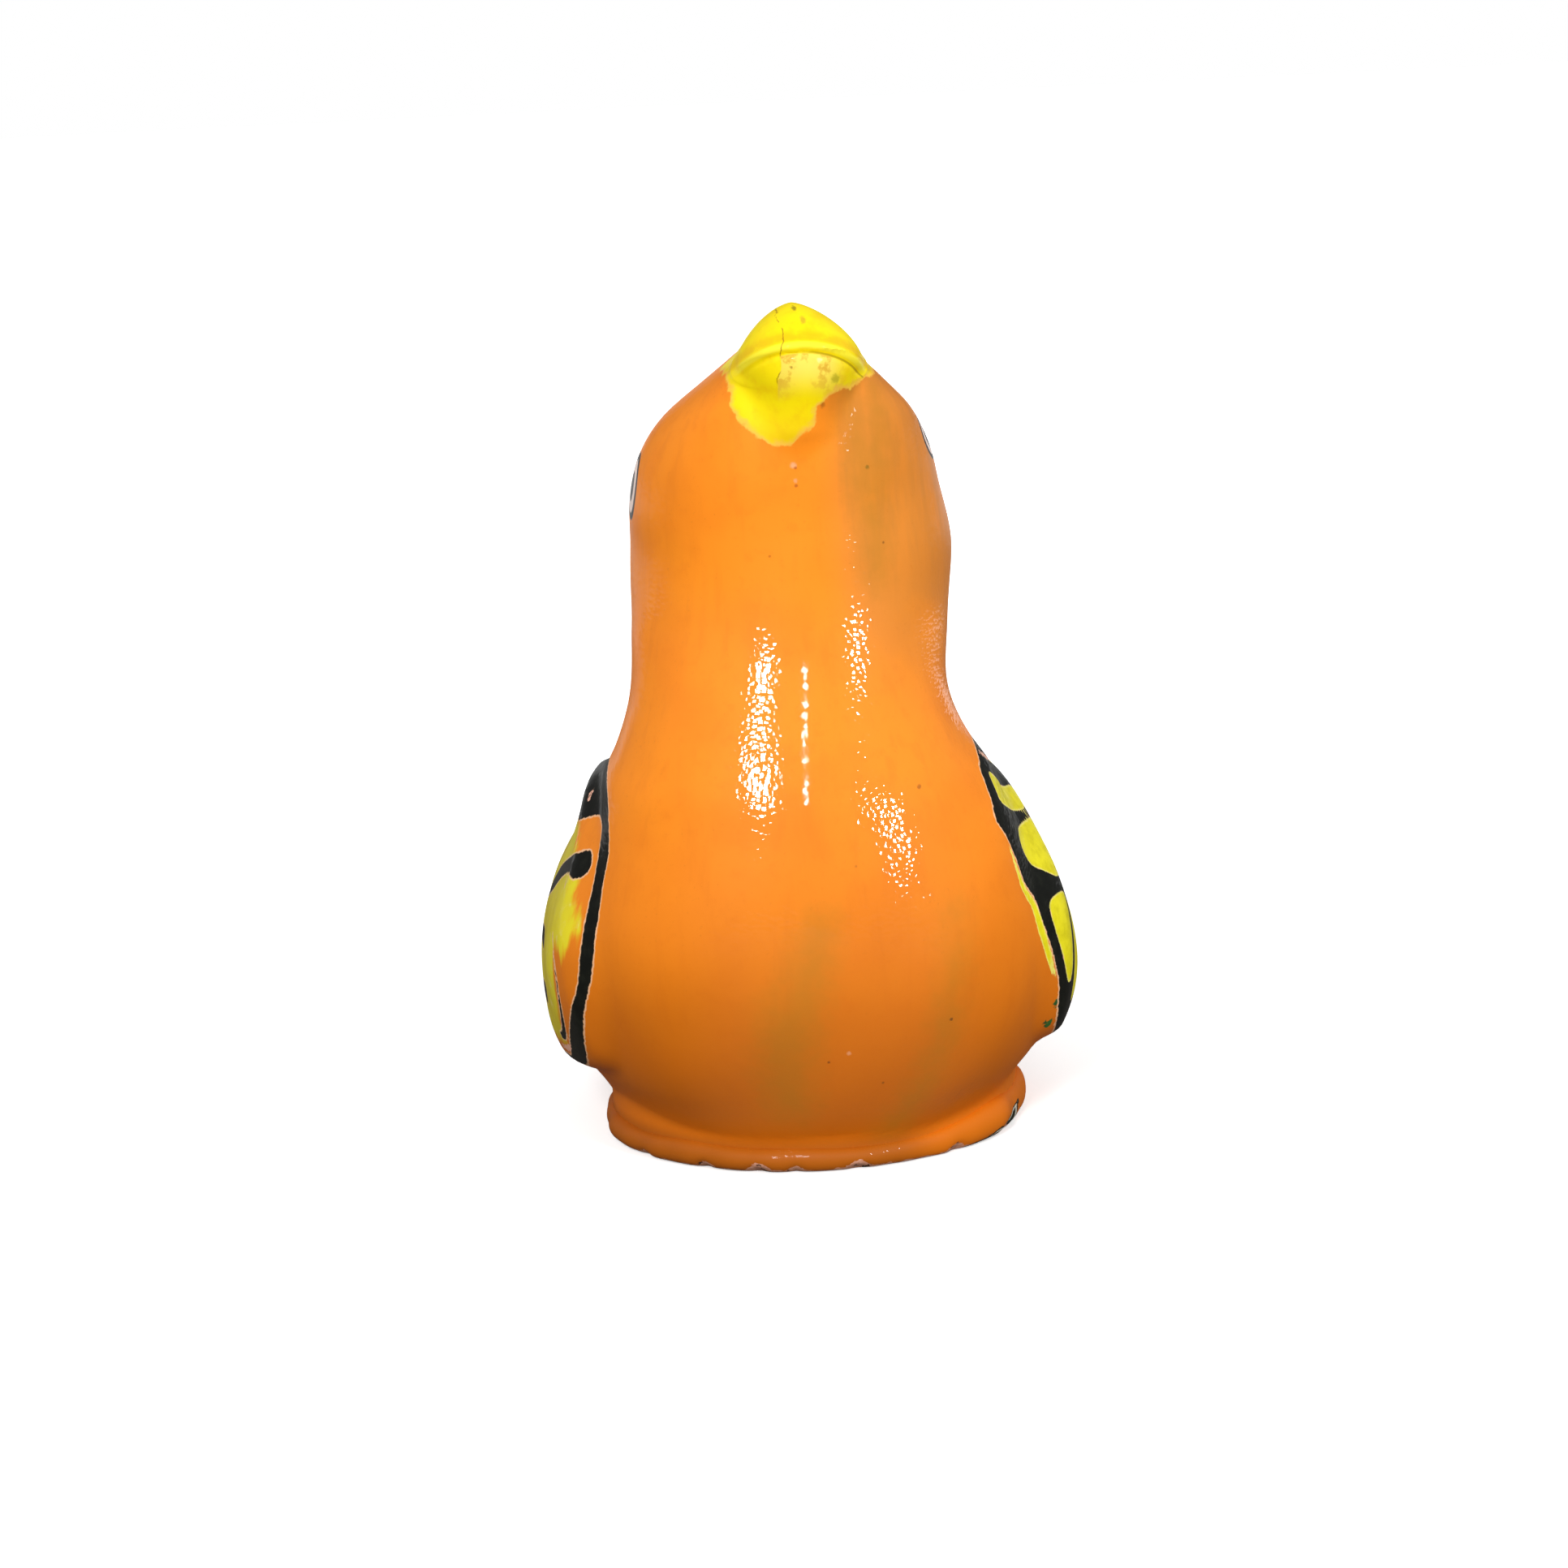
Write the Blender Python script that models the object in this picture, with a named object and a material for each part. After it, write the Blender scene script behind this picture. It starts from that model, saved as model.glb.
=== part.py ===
# A small bird whistle of painted, fired clay, about 57 mm tall.
#
# The bird sits on an oval foot with its bill up, its folded wings stand out a little from its sides,
# and its tail is the mouthpiece. Air blown in at the tail's end runs through a flat windway, crosses a
# window under the rump and splits on the sharp edge of the labium, and the hollow body sounds.
# The clay was pressed in a mould and joined before firing, so the whole whistle is one piece.
#
# Units are metres. +Z is up, the breast faces -Y, the tail points to +Y, and the origin is the centre
# of the foot's underside.

import bpy
import bmesh
import math
import numpy as np

# The body
CROWN_HEIGHT = 0.0546      # top of the head over the table
BREAST_REACH = 0.0186      # breast in front of the foot's centre
BODY_WIDTH = 0.0345        # belly across, without the wings
BELLY_LIFT = 0.0008        # the belly's own clay starts this far over the table
ROUNDNESS = 2.15           # exponent of the sections: 2 is an ellipse, more is squarer

# The foot, an oval disc of clay pressed onto the belly
FOOT_WIDTH = 0.0287
FOOT_DEPTH = 0.0282
FOOT_HEIGHT = 0.0030
FOOT_EDGE = 0.0009         # how far its rounded edge runs in

# The tail, which is the mouthpiece
TAIL_REACH = 0.0396        # middle of the mouthpiece's end, behind the foot's centre
TAIL_RISE = 0.0259         # and over the table
TAIL_THICKNESS = 0.0064
TAIL_WIDTH = 0.0140
TAIL_END_TILT = math.radians(20)
TAIL_ROOT_TILT = math.radians(-4)
TAIL_SWELL = 1.55          # how late the tail thickens towards the rump

# The wings
WING_RELIEF = 0.0011       # how far they stand out from the body

# The bill
BILL_WIDTH = 0.0089        # across the corners of the mouth
BILL_LENGTH = 0.0058       # corners of the mouth to the tip
BILL_HEIGHT = 0.0044       # upper half, over the mouth
CHIN_HEIGHT = 0.0036       # lower half, under the mouth
CHIN_LENGTH = 0.0048
BILL_ROOT = 0.0040         # how far both halves run back into the head
BILL_PEAK = 1.5            # exponent of its sections: under 2 they come to a ridge
BILL_SLOPE = math.radians(21)
MOUTH_BEAD = 0.0003        # how far the upper half hangs over the lower

# The inside
WALL = 0.0032
FLOOR = 0.0042             # clay under the chamber
WINDWAY_WIDTH = 0.0088
WINDWAY_HEIGHT = 0.0018
WINDOW_LENGTH = 0.0084     # end of the windway to the edge of the labium
LABIUM_DEPTH = 0.0021      # the edge lies this far inside the clay's outer face
LABIUM_SLOPE = math.radians(32)
THROAT_LENGTH = 0.0050     # thinned clay behind the labium's edge
THROAT_HEIGHT = 0.0030

# Sections of the body from the side, from the rump round to the face. Each has its back point and its
# front point, as shares of BREAST_REACH along Y and of CROWN_HEIGHT along Z, then how much of the
# tail's width it takes, and how far up from its front point it is widest.
BODY_SECTIONS = (
    ((1.086, 0.491), (1.000, 0.088), 0.40, 0.40),
    ((0.882, 0.535), (0.484, -0.055), 0.10, 0.36),
    ((0.742, 0.590), (-0.161, -0.101), 0.00, 0.34),
    ((0.656, 0.648), (-0.672, 0.012), 0.00, 0.36),
    ((0.602, 0.707), (-0.989, 0.220), 0.00, 0.40),
    ((0.581, 0.766), (-0.946, 0.440), 0.00, 0.45),
    ((0.548, 0.828), (-0.774, 0.623), 0.00, 0.50),
    ((0.452, 0.894), (-0.688, 0.751), 0.00, 0.50),
    ((0.247, 0.949), (-0.672, 0.835), 0.00, 0.50),
    ((-0.022, 0.985), (-0.656, 0.894), 0.00, 0.50),
    ((-0.290, 1.000), (-0.624, 0.934), 0.00, 0.50),
)
# Sections of the tail: how far each lies from the mouthpiece's end (0) to the rump (1), how much of
# the tail's width it takes, and how far up it is widest.
TAIL_SECTIONS = ((0.00, 1.00, 0.50), (0.33, 1.00, 0.48), (0.66, 0.78, 0.45))

# Half width of the pear-shaped body by height, as shares of CROWN_HEIGHT and of half BODY_WIDTH
WIDTH_BY_HEIGHT = (
    (-0.147, 0.70), (0.000, 0.77), (0.060, 0.84), (0.100, 0.92), (0.150, 0.97), (0.220, 0.99),
    (0.293, 0.957), (0.366, 0.861), (0.440, 0.748), (0.504, 0.664), (0.568, 0.614), (0.641, 0.609),
    (0.733, 0.623), (0.797, 0.603), (0.852, 0.551), (0.897, 0.464), (0.934, 0.342), (0.971, 0.226),
    (1.026, 0.087),
)
# Outline of a folded wing from the side, as shares of BREAST_REACH and CROWN_HEIGHT
WING_OUTLINE = (
    (-0.33, 0.445), (-0.56, 0.375), (-0.70, 0.275), (-0.62, 0.170), (-0.44, 0.112), (0.00, 0.098),
    (0.50, 0.140), (0.95, 0.215), (1.38, 0.325), (0.92, 0.405), (0.40, 0.455), (-0.02, 0.472),
)
# The middle of the mouth between its corners, as shares of BREAST_REACH and CROWN_HEIGHT, and the
# bill's width and height at its root, as a share of those at the corners
MOUTH_PLACE = (-0.457, 0.949)
BILL_ROOT_SHARE = 0.80
# How the bill tapers: share of its length from the corners to the tip, of its width, of its height
BILL_TAPER = (
    (0.00, 1.00, 1.00), (0.35, 0.90, 0.96), (0.68, 0.68, 0.78), (0.90, 0.40, 0.50), (1.00, 0.16, 0.22),
)

# The chamber ends at this section of the tail, and takes in this many sections of the body
CHAMBER_END = (0.74, 0.60, 0.42)
CHAMBER_SECTIONS = 8
# The labium's place along the underside, from the rump towards the tail
LABIUM_PLACE = 0.26

# Fineness of the meshes
BODY_STEPS = 4
BODY_SIDES = 52
CHAMBER_STEPS = 2
CHAMBER_SIDES = 28
BILL_SIDES = 20
FOOT_SIDES = 56
FOOT_STEPS = 7

CLAY_COLOUR = (0.93, 0.28, 0.03, 1.0)


def clear_scene():
    """Remove every object, so that the script can be run again."""
    for old in list(bpy.data.objects):
        bpy.data.objects.remove(old, do_unlink=True)


def collection(name):
    """A collection of that name under the scene's own, made if it isn't there."""
    found = bpy.data.collections.get(name)
    if found is None:
        found = bpy.data.collections.new(name)
        bpy.context.scene.collection.children.link(found)
    return found


def clay_material():
    """Fired clay under orange paint and a coat of varnish."""
    material = bpy.data.materials.new("painted_clay")
    material.use_nodes = True
    shader = material.node_tree.nodes["Principled BSDF"]
    shader.inputs["Base Color"].default_value = CLAY_COLOUR
    shader.inputs["Roughness"].default_value = 0.25
    shader.inputs["Metallic"].default_value = 0.0
    return material


def add_object(name, mesh, home):
    """Put a mesh into the scene as one object."""
    made = bpy.data.objects.new(name, mesh)
    home.objects.link(made)
    return made


def helper(made):
    """Mark an object as a cutter or a form that is joined, which isn't a part by itself."""
    made.hide_render = True
    made.display_type = 'WIRE'
    return made


def through_points(rows, steps):
    """A smooth curve through each row of numbers, as Catmull-Rom spans of that many steps."""
    rows = np.array(rows, dtype=float)
    padded = np.vstack([2 * rows[0] - rows[1], rows, 2 * rows[-1] - rows[-2]])
    curve = []
    for i in range(len(rows) - 1):
        a, b, c, d = padded[i:i + 4]
        for t in np.arange(steps) / steps:
            curve.append(0.5 * (2 * b + (c - a) * t + (2 * a - 5 * b + 4 * c - d) * t ** 2
                                + (3 * b - 3 * c + d - a) * t ** 3))
    curve.append(rows[-1])
    return np.array(curve)


def half_width(z):
    """Half width of the body at height z: a cubic that passes through WIDTH_BY_HEIGHT."""
    points = np.array(WIDTH_BY_HEIGHT) * (CROWN_HEIGHT, BODY_WIDTH / 2)
    heights, widths = points[:, 0], points[:, 1]
    steps = np.diff(heights)
    slopes = np.diff(widths) / steps
    tangents = np.empty_like(widths)
    tangents[1:-1] = (steps[1:] * slopes[:-1] + steps[:-1] * slopes[1:]) / (steps[1:] + steps[:-1])
    tangents[0], tangents[-1] = slopes[0], slopes[-1]
    z = np.clip(z, heights[0], heights[-1])
    i = np.clip(np.searchsorted(heights, z) - 1, 0, len(steps) - 1)
    t = (z - heights[i]) / steps[i]
    return ((2 * t ** 3 - 3 * t ** 2 + 1) * widths[i] + (t ** 3 - 2 * t ** 2 + t) * steps[i] * tangents[i]
            + (3 * t ** 2 - 2 * t ** 3) * widths[i + 1] + (t ** 3 - t ** 2) * steps[i] * tangents[i + 1])


def body_section(section):
    """One body section in metres: back y and z, front y and z, share of the tail's width, widest place."""
    back, front, tail_share, widest = section
    return (back[0] * BREAST_REACH, back[1] * CROWN_HEIGHT,
            front[0] * BREAST_REACH, front[1] * CROWN_HEIGHT, tail_share, widest)


def tail_section(along, tail_share, widest):
    """One tail section. Its middle lies on a straight line from the mouthpiece's end to the rump."""
    rump = np.array(body_section(BODY_SECTIONS[0])[:4])
    rump_middle = (rump[0:2] + rump[2:4]) / 2
    rump_thickness = np.linalg.norm(rump[0:2] - rump[2:4])
    middle = np.array([TAIL_REACH, TAIL_RISE]) * (1 - along) + rump_middle * along
    thickness = TAIL_THICKNESS + (rump_thickness - TAIL_THICKNESS) * along ** TAIL_SWELL
    tilt = TAIL_END_TILT * (1 - along) + TAIL_ROOT_TILT * along
    half = np.array([-math.sin(tilt), math.cos(tilt)]) * thickness / 2
    return (*(middle + half), *(middle - half), tail_share, widest)


def all_sections():
    """Every section of the bird, from the mouthpiece's end to the face."""
    tail = [tail_section(*row) for row in TAIL_SECTIONS]
    return tail + [body_section(row) for row in BODY_SECTIONS]


def rings_of(sections, sides, inset=0.0, lowest=BELLY_LIFT):
    """Rings of points around the sections.

    A ring runs round its section as a superellipse between the front and the back point. Its half
    width is read from its height, so the bird keeps its pear shape from the front however the
    sections turn. inset moves the ring inwards by a wall, or outwards where it is negative."""
    angle = np.linspace(0, 2 * math.pi, sides, endpoint=False)
    up = np.sign(np.cos(angle)) * np.abs(np.cos(angle)) ** (2 / ROUNDNESS)
    side = np.sign(np.sin(angle)) * np.abs(np.sin(angle)) ** (2 / ROUNDNESS)
    rings = []
    for back_y, back_z, front_y, front_z, tail_share, widest in sections:
        front = np.array([front_y, front_z])
        span = np.array([back_y, back_z]) - front
        length = np.linalg.norm(span)
        middle = front + span * widest
        reach = np.where(up >= 0, (1 - widest) * length, widest * length) - inset
        y = middle[0] + span[0] / length * reach * up
        z = middle[1] + span[1] / length * reach * up
        wide = half_width(z) * (1 - tail_share) + TAIL_WIDTH / 2 * tail_share
        x = (wide - inset) * side
        rings.append(np.stack([x, y, np.maximum(z, lowest)], axis=1))
    return rings


def lofted(name, rings, home):
    """A closed skin over a row of rings, with a face over each end."""
    sides = len(rings[0])
    mesh = bpy.data.meshes.new(name)
    shell = bmesh.new()
    rows = [[shell.verts.new(point) for point in ring] for ring in rings]
    for first, second in zip(rows, rows[1:]):
        for i in range(sides):
            j = (i + 1) % sides
            shell.faces.new((first[i], first[j], second[j], second[i]))
    shell.faces.new(reversed(rows[0]))
    shell.faces.new(rows[-1])
    bmesh.ops.triangulate(shell, faces=shell.faces)
    bmesh.ops.recalc_face_normals(shell, faces=shell.faces)
    shell.to_mesh(mesh)
    shell.free()
    return add_object(name, mesh, home)


def extruded(name, outline, width, home):
    """A flat outline in Y and Z, given a width across X and centred on it."""
    mesh = bpy.data.meshes.new(name)
    shell = bmesh.new()
    corners = [shell.verts.new((-width / 2, y, z)) for y, z in outline]
    face = shell.faces.new(corners)
    grown = bmesh.ops.extrude_face_region(shell, geom=[face])
    moved = [item for item in grown["geom"] if isinstance(item, bmesh.types.BMVert)]
    bmesh.ops.translate(shell, verts=moved, vec=(width, 0, 0))
    bmesh.ops.triangulate(shell, faces=shell.faces)
    bmesh.ops.recalc_face_normals(shell, faces=shell.faces)
    shell.to_mesh(mesh)
    shell.free()
    return add_object(name, mesh, home)


def combine(body, other, operation):
    """Join another form to the body, or cut it out."""
    step = body.modifiers.new(operation.lower() + "_" + other.name, 'BOOLEAN')
    step.operation = operation
    step.solver = 'EXACT'
    step.object = other


def make_foot(home):
    """The oval foot: a stack of ovals with a rounded edge, deeper across than from front to back."""
    angle = np.linspace(0, 2 * math.pi, FOOT_SIDES, endpoint=False)
    rings = []
    for turn in np.linspace(-math.pi / 2, math.pi / 2, FOOT_STEPS):
        half_across = FOOT_WIDTH / 2 - FOOT_EDGE * (1 - math.cos(turn))
        half_deep = FOOT_DEPTH / 2 - FOOT_EDGE * (1 - math.cos(turn))
        height = FOOT_HEIGHT / 2 * (1 + math.sin(turn))
        x = half_across * np.cos(angle)
        y = half_deep * np.sin(angle)
        rings.append(np.stack([x, y, np.full(FOOT_SIDES, height)], axis=1))
    return helper(lofted("foot", rings, home))


def make_wings(home):
    """Both folded wings: the body swollen by the relief, inside the wing's outline."""
    sections = through_points(all_sections(), BODY_STEPS)
    wings = lofted("wings", rings_of(sections, BODY_SIDES, inset=-WING_RELIEF), home)
    corners = np.array(WING_OUTLINE) * (BREAST_REACH, CROWN_HEIGHT)
    closed = np.vstack([corners, corners[:1]])
    outline = through_points(closed, 4)[:-1]
    stencil = helper(extruded("wing_outline", outline, 2 * BODY_WIDTH, home))
    combine(wings, stencil, 'INTERSECT')
    return helper(wings)


def bill_half(name, length, height, direction, home, overhang=0.0):
    """One half of the bill: a blunt, tapering half cone on one side of the mouth's line."""
    forward = np.array([-math.cos(BILL_SLOPE), math.sin(BILL_SLOPE)])
    away = np.array([math.sin(BILL_SLOPE), math.cos(BILL_SLOPE)]) * direction
    mouth = np.array(MOUTH_PLACE) * (BREAST_REACH, CROWN_HEIGHT)
    taper = through_points(BILL_TAPER, 3)
    root = taper[:1] * (0, BILL_ROOT_SHARE, BILL_ROOT_SHARE) - (BILL_ROOT / length, 0, 0)
    angle = np.linspace(0, math.pi, BILL_SIDES // 2 + 1)
    rings = []
    for along, wide, tall in np.vstack([root, taper]):
        across = np.sign(np.cos(angle)) * np.abs(np.cos(angle)) ** (2 / BILL_PEAK)
        x = (BILL_WIDTH / 2 + overhang) * wide * across
        rise = height * tall * np.abs(np.sin(angle)) ** (2 / BILL_PEAK)
        flat_x = x[-2:0:-1]
        middle = mouth + forward * along * length
        y = middle[0] + away[0] * rise
        z = middle[1] + away[1] * rise
        y = np.concatenate([y, middle[0] - away[0] * MOUTH_BEAD * np.ones(len(flat_x))])
        z = np.concatenate([z, middle[1] - away[1] * MOUTH_BEAD * np.ones(len(flat_x))])
        rings.append(np.stack([np.concatenate([x, flat_x]), y, z], axis=1))
    return helper(lofted(name, rings, home))


def make_chamber(home):
    """The hollow: the body's own form, one wall further in, from the rump up into the head."""
    inside = [tail_section(*CHAMBER_END)]
    inside += [body_section(row) for row in BODY_SECTIONS[:CHAMBER_SECTIONS]]
    sections = through_points(inside, CHAMBER_STEPS)
    return helper(lofted("chamber", rings_of(sections, CHAMBER_SIDES, inset=WALL, lowest=FLOOR), home))


def make_air_path(home):
    """Windway, window and labium, as one outline from the side that is cut through the clay.

    The windway is straight. It runs from the mouthpiece's end to the window, and its middle line
    meets the labium's edge. The window is open downwards, and beyond its edge the clay is cut to a
    ramp outside and thinned inside, which leaves the wedge that splits the air."""
    sections = all_sections()
    tail_end = np.array(sections[0][0:4])
    mouth = (tail_end[0:2] + tail_end[2:4]) / 2
    rump = np.array(sections[len(TAIL_SECTIONS)][2:4])
    next_front = np.array(sections[len(TAIL_SECTIONS) - 1][2:4])
    under = rump * (1 - LABIUM_PLACE) + next_front * LABIUM_PLACE
    along_clay = (next_front - rump) / np.linalg.norm(next_front - rump)
    inward = np.array([-along_clay[1], along_clay[0]])
    edge = under + inward * LABIUM_DEPTH
    length = np.linalg.norm(edge - mouth)
    along = (edge - mouth) / length
    down = np.array([-along[1], along[0]])
    past_end = TAIL_THICKNESS
    past_clay = WALL * 2
    half = WINDWAY_HEIGHT / 2
    ramp_run = past_clay / math.tan(LABIUM_SLOPE)
    corners = (
        (-past_end, -half),
        (length - WINDOW_LENGTH, -half),
        (length - WINDOW_LENGTH, -THROAT_HEIGHT),
        (length + THROAT_LENGTH, -THROAT_HEIGHT),
        (length + THROAT_LENGTH, -THROAT_HEIGHT / 3),
        (length, 0.0),
        (length + ramp_run, past_clay),
        (length - WINDOW_LENGTH, past_clay),
        (length - WINDOW_LENGTH, half),
        (-past_end, half),
    )
    outline = [mouth + along * a + down * b for a, b in corners]
    return helper(extruded("air_path", outline, WINDWAY_WIDTH, home))


def main():
    clear_scene()
    home = collection("bird_whistle")
    forms = collection("whistle_forms")
    sections = through_points(all_sections(), BODY_STEPS)
    whistle = lofted("whistle_body", rings_of(sections, BODY_SIDES), home)
    combine(whistle, make_wings(forms), 'UNION')
    combine(whistle, make_foot(forms), 'UNION')
    combine(whistle, bill_half("lower_bill", CHIN_LENGTH, CHIN_HEIGHT, -1, forms), 'UNION')
    combine(whistle, bill_half("upper_bill", BILL_LENGTH, BILL_HEIGHT, 1, forms, MOUTH_BEAD), 'UNION')
    combine(whistle, make_chamber(forms), 'DIFFERENCE')
    combine(whistle, make_air_path(forms), 'DIFFERENCE')
    whistle.data.materials.append(clay_material())
    whistle.data.shade_smooth()


main()
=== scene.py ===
# %% [markdown]
# # A painted clay bird whistle
#
# This notebook dresses a small bird whistle. The real one is about 57 mm tall. It was pressed from
# clay in a mould, joined, fired, painted in orange, yellow and black, and varnished. The bird is its
# body, the tail is the mouthpiece, and the sound is made at a window under the rump.
#
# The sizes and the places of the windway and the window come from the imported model, which is loaded
# first as a fixed frame. All sizes below are millimetres in the frame of that model: +Z is up, the
# breast faces -Y, the tail points to +Y, and the foot's underside is at height 0.

# %% The frame
import math
import bpy
import numpy as np
from mathutils import Matrix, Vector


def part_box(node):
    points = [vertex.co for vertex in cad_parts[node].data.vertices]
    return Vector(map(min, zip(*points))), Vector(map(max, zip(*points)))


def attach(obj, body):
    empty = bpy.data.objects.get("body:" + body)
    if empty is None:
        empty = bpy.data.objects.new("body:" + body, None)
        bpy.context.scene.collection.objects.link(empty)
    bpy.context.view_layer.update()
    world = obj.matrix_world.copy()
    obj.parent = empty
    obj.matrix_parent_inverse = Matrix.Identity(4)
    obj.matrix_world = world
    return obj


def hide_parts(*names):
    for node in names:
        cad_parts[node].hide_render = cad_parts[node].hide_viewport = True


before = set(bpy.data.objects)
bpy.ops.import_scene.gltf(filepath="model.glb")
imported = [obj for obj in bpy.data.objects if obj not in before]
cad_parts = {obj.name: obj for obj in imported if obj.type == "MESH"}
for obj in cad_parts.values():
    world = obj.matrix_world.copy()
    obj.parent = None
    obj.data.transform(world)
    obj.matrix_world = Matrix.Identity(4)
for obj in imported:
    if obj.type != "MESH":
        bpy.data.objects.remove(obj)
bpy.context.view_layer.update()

MM = 0.001
NODE = "whistle_body"
low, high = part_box(NODE)
print("the packed whistle spans", [round((b - a) / MM, 2) for a, b in zip(low, high)], "mm")

# %% [markdown]
# ## Small helpers
#
# Colours are written as the hex values a painter would pick from a screen. Blender's shaders work in
# linear light, so one function turns them. A second one adds a shader node with its settings and
# links in one line, which keeps the materials short enough to read. The others empty a tree for new
# nodes, number the faces of a grid, make an object of points and faces, and smooth a step.

# %% Helpers
def linear(hex_colour):
    """sRGB hex to linear light: x / 12.92 below 0.04045, else ((x + 0.055) / 1.055) to the 2.4."""
    values = [int(hex_colour[i:i + 2], 16) / 255 for i in (1, 3, 5)]
    turned = [v / 12.92 if v <= 0.04045 else ((v + 0.055) / 1.055) ** 2.4 for v in values]
    return (*turned, 1.0)


def node(kind, settings=None, out=0, **inputs):
    """Add a node to the tree that is being built, and give its output socket. Settings are its own
    fields, or just the name of its operation. Inputs are values, or sockets that are linked: i0 is
    the first, and Base_Color the one of that name."""
    made = tree.nodes.new("ShaderNode" + kind)
    settings = {"operation": settings} if isinstance(settings, str) else settings or {}
    for name, value in settings.items():
        setattr(made, name, value)
    for name, value in inputs.items():
        key = int(name[1:]) if name[0] == "i" and name[1:].isdigit() else name.replace("_", " ")
        socket = made.inputs[key]
        if isinstance(value, bpy.types.NodeSocket):
            tree.links.new(value, socket)
        else:
            socket.default_value = value
    return made.outputs[out] if made.outputs else made


def empty_tree(owner):
    """The node tree of a material or of the world, emptied for the nodes that follow."""
    owner.use_nodes = True
    owner.node_tree.nodes.clear()
    return owner.node_tree


def grid_faces(rows, columns):
    """Four-sided faces of a grid whose columns close on themselves, as an array of point numbers."""
    a = np.arange((rows - 1) * columns).reshape(rows - 1, columns)
    b = np.roll(a, -1, axis=1)
    return np.stack([a, b, b + columns, a + columns], axis=-1).reshape(-1, 4)


def placed(name, points, faces):
    """A mesh object from points in millimetres and rows of point numbers."""
    mesh = bpy.data.meshes.new(name)
    mesh.from_pydata((points * MM).tolist(), [], faces)
    mesh.update()
    made = bpy.data.objects.new(name, mesh)
    bpy.context.scene.collection.objects.link(made)
    return made


def eased(t):
    """A smooth step: 0 below 0, 1 above 1, and t^2 (3 - 2 t) between."""
    t = np.clip(t, 0, 1)
    return t ** 2 * (3 - 2 * t)


# %% [markdown]
# ## The bird's outline from the side
#
# The body has no axis that is straight: it turns from the tail round the rump to the head. So it is
# drawn as sections, like the ribs of a boat. Each rib runs from a point on the back to a point on the
# front, and a smooth curve carries the ribs along. Few ribs are needed, and each can be moved alone
# until the outline is right.

# %% Ribs
CROWN = 54.6          # height of the head
BREAST = 18.6         # reach of the breast in front of the foot's centre
BELLY = 34.5          # width of the belly without the wings
BELLY_LIFT = 0.8      # the belly's own clay starts this far over the table
ROUNDNESS = 2.15      # exponent of a rib's outline: 2 is an ellipse, more is squarer
TAIL_END = np.array([39.6, 25.9])
TAIL_THICKNESS = 6.4
TAIL_WIDTH = 14.0
TAIL_TILT = (math.radians(20), math.radians(-4))
TAIL_SWELL = 1.55

# back point, front point (shares of BREAST and CROWN), share of the tail's width, widest place
BODY_RIBS = (
    (1.086, 0.491, 1.000, 0.088, 0.40, 0.40),
    (0.882, 0.535, 0.484, -0.055, 0.10, 0.36),
    (0.742, 0.590, -0.161, -0.101, 0.00, 0.34),
    (0.656, 0.648, -0.672, 0.012, 0.00, 0.36),
    (0.602, 0.707, -0.989, 0.220, 0.00, 0.40),
    (0.581, 0.766, -0.936, 0.440, 0.00, 0.45),
    (0.548, 0.828, -0.755, 0.623, 0.00, 0.50),
    (0.452, 0.894, -0.699, 0.751, 0.00, 0.50),
    (0.247, 0.949, -0.684, 0.835, 0.00, 0.50),
    (-0.022, 0.985, -0.669, 0.894, 0.00, 0.50),
    (-0.290, 1.000, -0.648, 0.934, 0.00, 0.50),
)
# place from the mouthpiece's end (0) to the rump (1), share of the tail's width, widest place
TAIL_RIBS = ((0.00, 1.00, 0.50), (0.33, 1.00, 0.48), (0.66, 0.78, 0.45))
# half width of the pear by height, as shares of CROWN and half BELLY
PEAR = ((-0.147, 0.70), (0.000, 0.77), (0.060, 0.84), (0.100, 0.92), (0.150, 0.97), (0.220, 0.99),
        (0.293, 0.957), (0.366, 0.861), (0.440, 0.748), (0.504, 0.664), (0.568, 0.614), (0.641, 0.609),
        (0.733, 0.623), (0.797, 0.603), (0.852, 0.551), (0.897, 0.464), (0.934, 0.342), (0.971, 0.226),
        (1.026, 0.087))


def smooth_through(rows, steps):
    """Catmull-Rom curve through rows of numbers: each span is the cubic whose slope at a point is half
    the way from the point before it to the point after it."""
    rows = np.asarray(rows, dtype=float)
    padded = np.vstack([2 * rows[0] - rows[1], rows, 2 * rows[-1] - rows[-2]])
    t = np.linspace(0, 1, steps, endpoint=False)[None, :, None]
    a, b, c, d = (padded[i:len(padded) - 3 + i, None, :] for i in range(4))
    spans = 0.5 * (2 * b + (c - a) * t + (2 * a - 5 * b + 4 * c - d) * t ** 2
                   + (3 * b - 3 * c + d - a) * t ** 3)
    return np.vstack([spans.reshape(-1, rows.shape[1]), rows[-1:]])


def cubic_through(table, at):
    """Value of a smooth curve through rows of (place, value): piecewise cubics whose slope at a row
    is the average of the slopes on its two sides, each weighed by the other side's length. Outside
    the table the first or last value holds."""
    places, values = np.asarray(table, dtype=float).T
    gap = np.diff(places)
    slope = np.diff(values) / gap
    tangent = np.empty_like(values)
    tangent[1:-1] = (gap[1:] * slope[:-1] + gap[:-1] * slope[1:]) / (gap[1:] + gap[:-1])
    tangent[0], tangent[-1] = slope[0], slope[-1]
    at = np.clip(at, places[0], places[-1])
    i = np.clip(np.searchsorted(places, at) - 1, 0, len(gap) - 1)
    t = (at - places[i]) / gap[i]
    return ((2 * t ** 3 - 3 * t ** 2 + 1) * values[i] + (t ** 3 - 2 * t ** 2 + t) * gap[i] * tangent[i]
            + (3 * t ** 2 - 2 * t ** 3) * values[i + 1] + (t ** 3 - t ** 2) * gap[i] * tangent[i + 1])


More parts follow.
